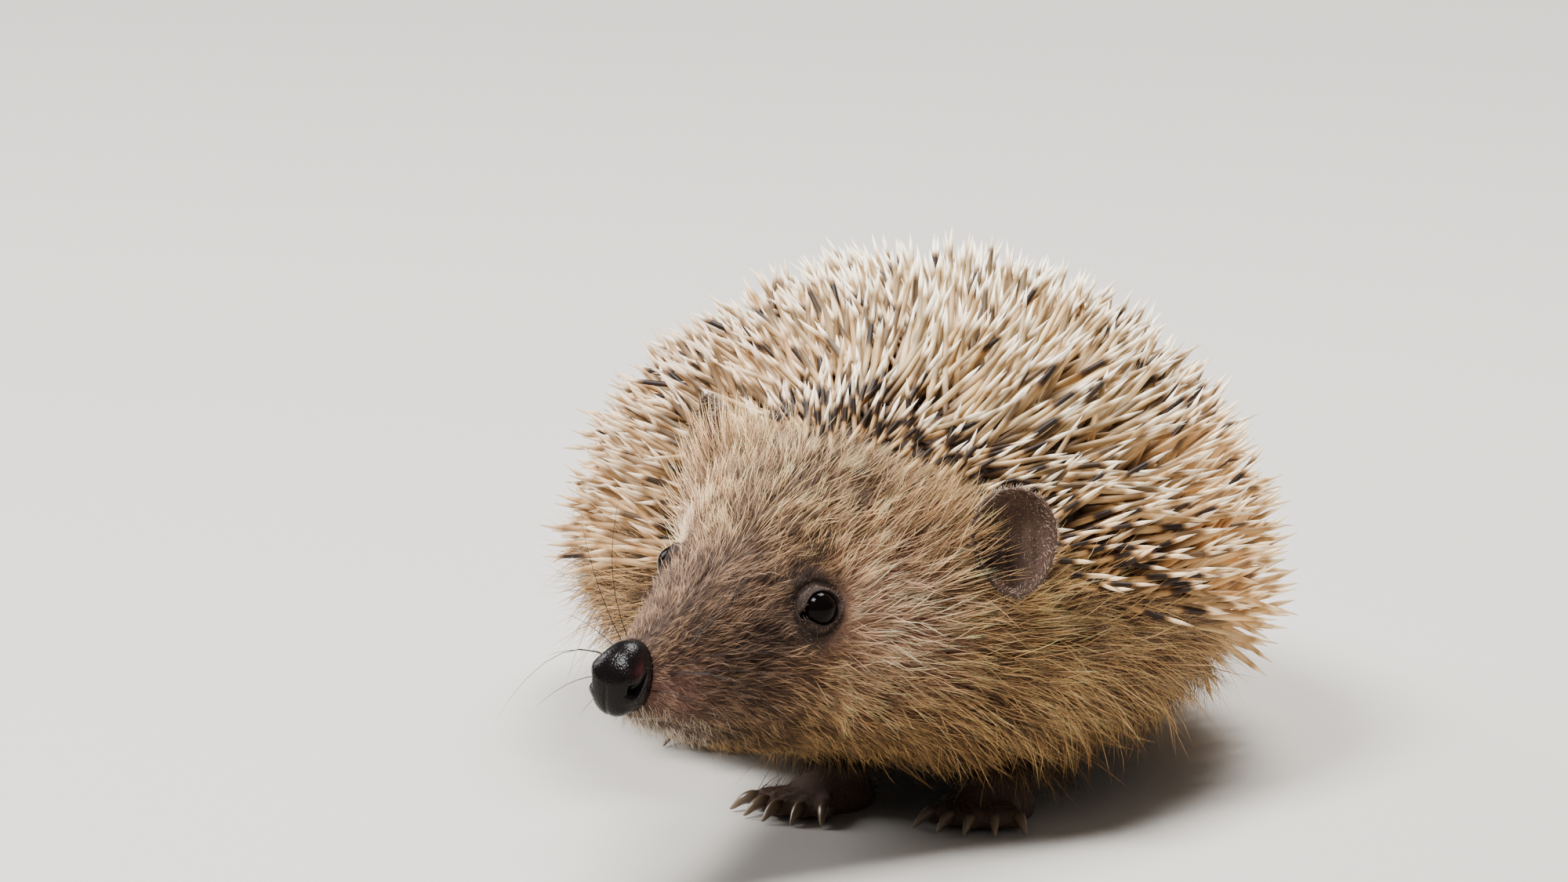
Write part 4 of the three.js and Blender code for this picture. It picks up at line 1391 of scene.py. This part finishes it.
def build_spines():
    """The spines: stiff round shafts that taper at both ends, leaning back and crossing each other.

    The front rows over the brow are slender and short, and lean further back.
    """
    material = spine_material()
    sizes = user_settings()
    spots = roots_on("body", lambda spots: SPINES_TRIED * spots.spiny(), seed=21)
    spots = spread_out(spots, millimetres(sizes.spine_gap), seed=22)
    rng = np.random.default_rng(23)
    count = len(spots.at)
    rows = 1 - smoothstep(spots.edge_gap(), 2, 15)
    brow = rows * (1 - smoothstep(spots.at, 66, 86))
    rim = rows * (1 - brow)
    length = millimetres(sizes.spine_length) * rng.uniform(0.82, 1.12, count)
    length = length * (1 - 0.3 * brow)
    length = length * (1 - (0.12 + 0.2 * smoothstep(spots.at, 118, 136)) * rim)
    length = length * (1 - 0.16 * (1 - smoothstep(spots.at, 54, 76)))
    aside = (spots.side * bump(spots.turn, 45, 40))[:, None]
    back = back_at(spots.at) + 0.25 * left_at(spots.at) * aside
    lie = unit(back - spots.normals * (back * spots.normals).sum(-1, keepdims=True))
    angle = sizes.spine_cross * (rng.normal(0, 0.75, count) + 0.75 * swirl(spots.points, 3.4))
    lie = turned_about(lie, spots.normals, angle)
    rear = smoothstep(spots.at, 104, 130)
    lean = 33 + 9 * brow + 14 * rim + 9 * rear + rng.normal(0, 11, count)
    lean = lean + 8 * swirl(spots.points + 30, 4.6)
    stand = curve(SECTIONS, SPINES, spots.at) - 1.6 * smoothstep(spots.at, 96, 126)
    stand = stand + np.clip(rng.normal(0, 1.6, count), -4, 2.4)
    stand = np.maximum(stand - 1.6 * bump(spots.at, 70, 16) * (spots.side < 0), 6.5)
    least = np.degrees(np.arccos(np.clip(stand / length, 0, 1)))
    lean = np.radians(np.clip(np.maximum(lean, least), 14, 80))
    way = unit(spots.normals * np.cos(lean)[:, None] + lie * np.sin(lean)[:, None])
    bow = unit(spots.normals - way * (spots.normals * way).sum(-1, keepdims=True))
    steps = np.array([0, 0.14, 0.5, 0.84, 1.0])
    taper = np.array([0.55, 0.95, 1.0, 0.72])
    root = spots.points - way * 0.8
    lines = root[:, None] + way[:, None] * (length[:, None] * steps)[..., None]
    lines = lines - bow[:, None] * (0.03 * length[:, None] * (4 * steps * (1 - steps)))[..., None]
    radius = millimetres(sizes.spine_thickness) / 2 * rng.uniform(0.85, 1.1, count)
    radius = radius * (1 - 0.25 * brow)
    shift = rng.normal(0, 0.05, (count, 1))
    along = np.clip(steps[None] + (shift + 0.12 * brow[:, None]) * np.sin(np.pi * steps)[None], 0, 1)
    band = np.clip(rng.normal(0.45, 0.4, count) + 1.1 * brow - 0.5 * rim, 0, 1)
    band = np.repeat(band[:, None], len(steps), 1)
    tint = np.repeat(rng.uniform(0.8, 1.25, (count, 1, 1)), 3, 2) * np.ones((1, len(steps), 1))
    brown = (rng.random((count, 1, 1)) < 0.35) * rng.uniform(0.2, 1, (count, 1, 1))
    tint = tint * (1 - brown * np.array([0.12, 0.2, 0.32]))
    tint = tint * (1 - brow[:, None, None] * np.array([0.06, 0.12, 0.2]))
    # Spines on the far flank, fading out over the top, are darkened: painted shade.
    far_side_shade = (smoothstep(-spots.turn, -88, -45) * (spots.side < 0))[:, None, None]
    tint = tint * (1 - far_side_shade * np.array([0.3, 0.4, 0.48]))
    # Spines on the near flank, fading out above its middle, are made warmer: painted warm reflected light.
    near_flank_warm_light = (smoothstep(-spots.turn, -60, -10) * (spots.side > 0))[:, None, None]
    tint = tint * (1 + near_flank_warm_light * np.array([0.22, 0.08, -0.1]))
    places = spots.map_place()
    for word, side in (("left", 1), ("right", -1)):
        chosen = spots.side == side
        mesh = strand_mesh(
            f"spines_{word}",
            lines[chosen],
            radius[chosen, None] * taper[None],
            SPINE_SIDES,
            spots.normals[chosen],
            places[chosen],
            tint[chosen],
            [("along", along[chosen]), ("band", band[chosen])],
        )
        new_piece(f"spines_{word}", mesh, material, ["spiny_back"] if side > 0 else [])


# ---- eyes, nose, whiskers and claws -------------------------------------------------

# How far behind the nose's front the point lies that its dents are pressed towards.
NOSE_CORE = 3.2


def build_eyes():
    """Eyeballs with a slight bulge of cornea along each eye's axis."""
    material = eye_material(user_settings().iris_colour)
    for side, word in ((1, "left"), (-1, "right")):
        centre, out, rear, up = eye_frame(side)
        v = np.linspace(0.01, np.pi - 0.01, 48)[:, None]
        u = np.linspace(0, 2 * np.pi, 64, endpoint=False)[None]
        radius = EYE_RADIUS * (0.985 + 0.035 * bump(v, 0, 0.75)) + 0 * u
        ball = (
            np.cos(v)[..., None] * out
            + (np.sin(v) * np.cos(u))[..., None] * rear
            + (np.sin(v) * np.sin(u))[..., None] * up
        )
        points, triangles = closed_loft(centre + ball * radius[..., None])
        mesh = new_mesh(f"eyeball_{word}", points, outward(points, triangles))
        new_piece(f"eyeball_{word}", mesh, material, [f"eye_{word}"])


def build_nose():
    """The bare nose: a rounded pad with a groove down its front and a comma nostril on each side.

    Cross-sections stacked along the head's line swell from the front and close behind inside
    the muzzle; nostrils, their rims and the groove are pressed in along the surface's normals.
    """
    far = (NOSE["to"] - NOSE["from"]) * np.linspace(0, 1, 110)[:, None] ** 1.6
    angle = np.linspace(0, 2 * np.pi, 150, endpoint=False)[None]
    blunt = (1 - (1 - np.clip(far / 2.4, 0.0005, 1)) ** 2.5) ** 0.45
    sloped = (1 - (1 - np.clip(far / 4.7, 0.0005, 1)) ** 2) ** 0.6
    out = NOSE["half"] * blunt * (1 - 0.1 * smoothstep(far, 3.6, 5.9)) * power(np.cos(angle), 0.9)
    upper = smoothstep(np.sin(angle), -0.75, 0.75)
    reach = NOSE["up"] * sloped * upper + NOSE["down"] * blunt * (1 - upper)
    height = reach * power(np.sin(angle), 0.92)
    sideways = smoothstep(np.abs(out), 1.6, 2.5)
    curl = np.where(far < 1.3, -0.5, 0.3) * (far - 1.3) ** 2 - 0.3
    thick = 0.8 * (1 - 0.65 * smoothstep(far, 1.9, 4.4)) * (0.5 + 0.5 * smoothstep(far, 0.0, 1.0))
    hole = smoothstep(far, 0.5, 1.2) * (1 - smoothstep(far, 3.4, 4.4)) * sideways
    hole = hole * (1 - smoothstep(np.abs(height - curl) / thick, 0.4, 1.2))
    groove = 0.1 * bump(out, 0, 0.28) * smoothstep(-height, -0.8, 1.6)
    deep = np.maximum(hole * (0.25 + 0.75 * bump(far, 1.7, 1.1)), groove)
    wing = 0.34 * bump(far, 2.4, 1.2) * bump(height, curl + 1.6, 0.7) * sideways
    rim = 0.26 * bump(far, 1.9, 1.3) * bump(height, curl - 1.35, 0.5) * sideways
    grain = 0.02 * np.sin(9 * far + 2 * np.sin(7 * angle)) * np.sin(11 * angle + 3 * far) * sideways
    inner = np.hypot(np.hypot(far - NOSE_CORE, out), height)
    kept = 1 - (deep - wing - rim - grain) / np.maximum(inner, 1.5)
    at = NOSE["from"] + NOSE_CORE + (far - NOSE_CORE) * kept
    points, triangles = closed_loft(place(at, out * kept, NOSE["height"] + height * kept))
    mesh = new_mesh("nose_pad", points, outward(points, triangles))
    # Inside the nostrils the colour goes near black: painted shade in the holes.
    inside = smoothstep(hole, 0.35, 0.9)[..., None]
    flush = (0.7 * bump(far, 2.6, 0.9) * bump(height, curl + 1.8, 0.8) * sideways)[..., None]
    bare = np.array(user_settings().nose_colour)
    tint = bare * (1 - flush) + linear("#3a1d19") * flush
    tint = (tint * (1 - inside) + linear("#080404") * inside).reshape(-1, 3)
    spare = len(points) - len(tint)
    set_colour(mesh, "tint", np.concatenate([tint, np.repeat(bare[None], spare, 0)]))
    new_piece("nose_pad", mesh, nose_material(), ["nose"])


# Lashes over each eye and bristles on each side of the chin.
LASHES, BRISTLES = 16, 230
# Whiskers: distance and turn of the root; length; the way out, up and back; and how it bends.
WHISKERS = [
    (7.5, 30, 17.5, (0.62, 0.74, 0.10), (-0.10, 0.16, 0.10)),
    (8.5, 34, 20.5, (0.55, 0.80, 0.15), (-0.34, 0.10, 0.10)),
    (5.5, 12, 21.0, (0.90, 0.36, 0.05), (0.10, -0.95, 0.10)),
    (6.5, 6, 11.5, (0.92, 0.30, 0.00), (0.10, -0.42, 0.10)),
    (7.0, 20, 14.0, (0.84, 0.46, 0.20), (0.05, -0.30, 0.20)),
    (4.5, -14, 11.5, (0.95, 0.05, -0.10), (0.10, -0.60, 0.10)),
    (5.0, -26, 6.5, (0.80, -0.52, -0.10), (0.05, -0.25, 0.20)),
    (10.0, 2, 12.0, (0.80, 0.12, 0.45), (0.05, -0.25, 0.35)),
    (11.0, -12, 10.0, (0.75, -0.10, 0.55), (0.05, -0.30, 0.35)),
]


def build_whiskers(material):
    """Long thin whiskers on the muzzle, stiff dark lashes over each eye and bristles on the chin."""
    rng = np.random.default_rng(31)
    rows = []
    for side in (1, -1):
        for at, turn, length, way, bend in WHISKERS:
            swept = np.array([0, 0, 0.55 if side > 0 else 0.0])
            rows.append((side, at, turn, length, np.array(way) + swept, bend, 0.075, "#1f1612"))
        for _ in range(LASHES):
            way = (0.55, rng.uniform(0.75, 1.1), rng.uniform(0.15, 0.75))
            at, turn, length = rng.uniform(27, 33), rng.uniform(42, 54), rng.uniform(2.5, 6.0)
            rows.append((side, at, turn, length, way, (0, 0.1, 0.15), 0.055, "#17100d"))
        for _ in range(BRISTLES):
            at = rng.uniform(2.4, 20)
            way = (rng.uniform(0.0, 0.6), -1, rng.uniform(-0.9, 0.1))
            shade = ("#d9c8b4", "#a08b76", "#3b2d26")[rng.choice(3, p=(0.6, 0.25, 0.15))]
            turn, length = rng.uniform(-88, -30), rng.uniform(1.6, 3.2)
            rows.append((side, at, turn, length, way, (0, 0.1, 0.2), 0.036, shade))
    *numbers, shades = zip(*rows)
    side, at, turn, length, way, bend, radius = (np.array(each, float) for each in numbers)
    turn = np.radians(turn)
    half, up, down = half_reach(at)
    half_out = side * half * power(np.cos(turn), 2 / TOP_SQUARENESS)
    rise = np.where(turn > 0, up, down) * power(np.sin(turn), 2 / TOP_SQUARENESS)
    root = place(at, half_out, curve(SECTIONS, WIDE, at) + rise)
    upward = np.tile([0, 0, 1.0], (len(rows), 1))
    axes = np.stack([left_at(at) * side[:, None], upward, back_at(at)], 1)
    way = unit((way[:, :, None] * axes).sum(1))
    bend = (bend[:, :, None] * axes).sum(1)
    t = np.linspace(0, 1, 8)[None, :, None]
    reach = length[:, None, None] * (way[:, None] * t + bend[:, None] * t**2)
    lines = root[:, None] - way[:, None] * 0.4 + reach
    radii = radius[:, None] * (1 - 0.72 * t[:, :-1, 0])
    tint = np.array([linear(shade) for shade in shades])[:, None] * (0.9 + 0.3 * t)
    normals = unit(np.tile([0.1, 0.2, 0.97], (len(rows), 1)))
    places = Spots(root, unit(axes[:, 0])).map_place()
    mesh = strand_mesh("whiskers", lines, radii, WHISKER_SIDES, normals, places, tint)
    new_piece("whiskers", mesh, material)


def build_claws():
    """Claws: curved horn cones from each toe's tip down to the floor."""
    parts, far = [], []
    rings, sides = 14, 12
    for name in LEGS:
        matrix, origin = foot_frame(name)
        for spread in np.linspace(-1, 1, 5):
            root, ahead, toe, claw = toe_points(name, spread)
            rows = [
                (toe * 0.8, TOE_THICK + 0.35, CLAW_THICK * 0.9),
                (toe + claw * 0.1, TOE_THICK + 0.45, CLAW_THICK),
                (toe + claw * 0.5, TOE_THICK + 0.1, CLAW_THICK * 0.72),
                (toe + claw * 0.85, CLAW_TIP_HEIGHT, CLAW_TIP_RADIUS),
                (toe + claw, CLAW_TIP_HEIGHT - 0.3, 0.1),
            ]
            knots = [(*(root + ahead * far_on + [0, 0, z]), radius) for far_on, z, radius in rows]
            knots = smooth_path(knots, rings)
            points, triangles = tube(knots[:, :3] @ matrix.T + origin, knots[:, 3], sides, 1.15)
            parts.append((points, outward(points, triangles)))
            far.append(np.r_[np.repeat(np.linspace(0, 1, rings), sides), 0, 1])
    points, triangles = joined(parts)
    mesh = new_mesh("claws", points, triangles)
    set_number(mesh, "along", np.concatenate(far))
    colours = user_settings()
    horn = claw_material(colours.claw_root_colour, colours.claw_tip_colour)
    new_piece("claws", mesh, horn)


# ---- the stage ----------------------------------------------------------------------

# Half the floor's width, in metres.
FLOOR_HALF = 6.0
# Soft lamps: name, place in metres, watts and width in metres; all turned to one point.
LAMPS = (
    ("key", (-0.42, -0.28, 0.85), 20.0, 0.3),
    ("top", (0.25, 0.25, 1.0), 22.0, 0.45),
    ("rim", (-0.55, 0.6, 0.5), 6.0, 0.4),
)
LAMP_TARGET = Vector((0, 0, 0.035))
# How far the left eye stands to the right of the view's middle and below it, in millimetres.
EYE_IN_VIEW = (4.2, 21.35)


def build_stage():
    """A plain pale floor, three soft lights and the camera."""
    chosen = user_settings()
    corners = np.array([(-1, -1, 0), (1, -1, 0), (1, 1, 0), (-1, 1, 0)]) * FLOOR_HALF / MM
    mesh = new_mesh("floor", corners, np.array([(0, 1, 2), (0, 2, 3)]))
    floor = bpy.data.objects.new("floor", mesh)
    bpy.context.scene.collection.objects.link(floor)
    material, _, shader = new_material("Matt pale board", Roughness=0.9)
    shader.inputs["Base Color"].default_value = (*chosen.floor_colour, 1)
    mesh.materials.append(material)

    world = bpy.data.worlds.new("studio")
    bpy.context.scene.world = world
    world.use_nodes = True
    sky = world.node_tree.nodes["Background"]
    sky.inputs["Color"].default_value = (*linear("#e9edf2"), 1)
    sky.inputs["Strength"].default_value = 0.24

    for name, spot, watts, side in LAMPS:
        light = bpy.data.lights.new(name, "AREA")
        light.energy, light.size = watts, side
        lamp = bpy.data.objects.new(name, light)
        lamp.location = spot
        lamp.rotation_euler = (LAMP_TARGET - Vector(spot)).to_track_quat("-Z", "Y").to_euler()
        bpy.context.scene.collection.objects.link(lamp)

    camera = bpy.data.cameras.new("camera")
    camera.sensor_width, camera.lens = 36, 360
    camera.clip_start, camera.clip_end = 0.05, 50
    turn, tilt = chosen.camera_turn, chosen.camera_tilt
    ahead = np.array([-np.sin(turn) * np.cos(tilt), np.cos(turn) * np.cos(tilt), -np.sin(tilt)])
    right = np.array([np.cos(turn), np.sin(turn), 0])
    up = np.cross(right, ahead)
    eye = eye_centre(1) + SHIFT
    aside, below = EYE_IN_VIEW
    spot = eye - right * aside + up * below - ahead * millimetres(chosen.camera_distance)
    view = bpy.data.objects.new("camera", camera)
    view.location = Vector(spot * MM)
    view.rotation_euler = Vector(ahead).to_track_quat("-Z", "Y").to_euler()
    bpy.context.scene.collection.objects.link(view)
    bpy.context.scene.camera = view


# ---- the add-on ---------------------------------------------------------------------


class HedgehogSettings(bpy.types.PropertyGroup):
    """Sizes and colours that a user would change."""

    spine_length: FloatProperty(
        name="Spine length",
        description="Length of a full-grown spine",
        default=17 * MM,
        min=5 * MM,
        precision=4,
        unit="LENGTH",
    )
    spine_thickness: FloatProperty(
        name="Spine thickness",
        description="Thickness of a spine at its middle",
        default=1 * MM,
        min=0.2 * MM,
        precision=4,
        unit="LENGTH",
    )
    spine_gap: FloatProperty(
        name="Spine spacing",
        description="Least distance between the roots of two spines",
        default=1.5 * MM,
        min=0.8 * MM,
        precision=4,
        unit="LENGTH",
    )
    spine_cross: FloatProperty(
        name="Spine crossing",
        description="How far spines turn out of the coat's lie",
        default=np.radians(30),
        min=0,
        subtype="ANGLE",
    )
    fur_length: FloatProperty(
        name="Fur length",
        description="Length of the fur, as a share of a young hedgehog's",
        default=1,
        min=0.3,
        max=1.5,
        subtype="FACTOR",
    )
    underfur_colour: FloatVectorProperty(
        name="Underfur",
        description="Colour of the underfur on the head",
        subtype="COLOR",
        size=3,
        min=0,
        max=1,
        default=tuple(linear("#553d30")),
    )
    straw_colour: FloatVectorProperty(
        name="Straw",
        description="Colour of the pale hair tips",
        subtype="COLOR",
        size=3,
        min=0,
        max=1,
        default=tuple(linear("#c49d7c")),
    )
    ear_colour: FloatVectorProperty(
        name="Ears",
        description="Colour of the ears' skin",
        subtype="COLOR",
        size=3,
        min=0,
        max=1,
        default=tuple(linear("#4b372d")),
    )
    foot_colour: FloatVectorProperty(
        name="Feet",
        description="Colour of the feet's skin",
        subtype="COLOR",
        size=3,
        min=0,
        max=1,
        default=tuple(linear("#57443a")),
    )
    nose_colour: FloatVectorProperty(
        name="Nose",
        description="Colour of the bare nose",
        subtype="COLOR",
        size=3,
        min=0,
        max=1,
        default=tuple(linear("#0f0b0b")),
    )
    iris_colour: FloatVectorProperty(
        name="Iris",
        description="Paler colour of the irises' flecks",
        subtype="COLOR",
        size=3,
        min=0,
        max=1,
        default=tuple(linear("#0d0806")),
    )
    claw_root_colour: FloatVectorProperty(
        name="Claw root",
        description="Colour of the claws where they grow",
        subtype="COLOR",
        size=3,
        min=0,
        max=1,
        default=tuple(linear("#35281f")),
    )
    claw_tip_colour: FloatVectorProperty(
        name="Claw tip",
        description="Colour of the claws' tips",
        subtype="COLOR",
        size=3,
        min=0,
        max=1,
        default=tuple(linear("#8f7a62")),
    )
    floor_colour: FloatVectorProperty(
        name="Floor",
        description="Colour of the floor",
        subtype="COLOR",
        size=3,
        min=0,
        max=1,
        default=tuple(linear("#c2bdb5")),
    )
    camera_turn: FloatProperty(
        name="Camera turn",
        description="How far the camera stands round the animal",
        default=np.radians(-15),
        subtype="ANGLE",
    )
    camera_tilt: FloatProperty(
        name="Camera tilt",
        description="How far the camera looks down",
        default=np.radians(12),
        subtype="ANGLE",
    )
    camera_distance: FloatProperty(
        name="Camera distance",
        description="Distance of the camera from the left eye",
        default=2,
        min=0.3,
        unit="LENGTH",
    )


class HEDGEHOG_OT_skin(bpy.types.Operator):
    """Builds the skin with its lids, mouth and ears"""

    bl_idname = "hedgehog.skin"
    bl_label = "Skin"

    def execute(self, context):
        build_skin(skin_material())
        return {"FINISHED"}


class HEDGEHOG_OT_face(bpy.types.Operator):
    """Builds the eyes, the nose and the whiskers"""

    bl_idname = "hedgehog.face"
    bl_label = "Eyes, nose and whiskers"

    def execute(self, context):
        build_eyes()
        build_nose()
        build_whiskers(hair_material("Whisker keratin", 0.4))
        return {"FINISHED"}


class HEDGEHOG_OT_claws(bpy.types.Operator):
    """Builds the claws"""

    bl_idname = "hedgehog.claws"
    bl_label = "Claws"

    def execute(self, context):
        build_claws()
        return {"FINISHED"}


class HEDGEHOG_OT_spines(bpy.types.Operator):
    """Grows the spines on the back"""

    bl_idname = "hedgehog.spines"
    bl_label = "Spines"

    def execute(self, context):
        build_spines()
        return {"FINISHED"}


class HEDGEHOG_OT_fur(bpy.types.Operator):
    """Grows the fur on face, neck, flanks, belly and legs"""

    bl_idname = "hedgehog.fur"
    bl_label = "Fur"

    def execute(self, context):
        material = hair_material("Hair keratin", 0.55)
        build_fur(material)
        build_ear_fuzz(material)
        return {"FINISHED"}


class HEDGEHOG_OT_stage(bpy.types.Operator):
    """Sets the floor, the lights and the camera"""

    bl_idname = "hedgehog.stage"
    bl_label = "Stage"

    def execute(self, context):
        build_stage()
        return {"FINISHED"}


OPERATORS = (
    HEDGEHOG_OT_skin,
    HEDGEHOG_OT_face,
    HEDGEHOG_OT_claws,
    HEDGEHOG_OT_spines,
    HEDGEHOG_OT_fur,
    HEDGEHOG_OT_stage,
)


class HEDGEHOG_PT_panel(bpy.types.Panel):
    """The hedgehog's pieces and sizes"""

    bl_label = "Hedgehog"
    bl_idname = "HEDGEHOG_PT_panel"
    bl_space_type = "VIEW_3D"
    bl_region_type = "UI"
    bl_category = "Hedgehog"

    def draw(self, context):
        for name in HedgehogSettings.__annotations__:
            self.layout.prop(context.scene.hedgehog, name)
        for operator in OPERATORS:
            self.layout.operator(operator.bl_idname)


def register():
    """Registers the classes and hangs the settings on the scene."""
    for each in (HedgehogSettings, *OPERATORS, HEDGEHOG_PT_panel):
        bpy.utils.register_class(each)
    bpy.types.Scene.hedgehog = PointerProperty(type=HedgehogSettings)


def unregister():
    """Takes the settings and the classes away again."""
    del bpy.types.Scene.hedgehog
    for each in (HEDGEHOG_PT_panel, *reversed(OPERATORS), HedgehogSettings):
        bpy.utils.unregister_class(each)


def main():
    """Registers the add-on and builds every piece in order."""
    register()
    bpy.ops.hedgehog.skin()
    bpy.ops.hedgehog.face()
    bpy.ops.hedgehog.claws()
    bpy.ops.hedgehog.spines()
    bpy.ops.hedgehog.fur()
    bpy.ops.hedgehog.stage()


if __name__ == "__main__":
    main()
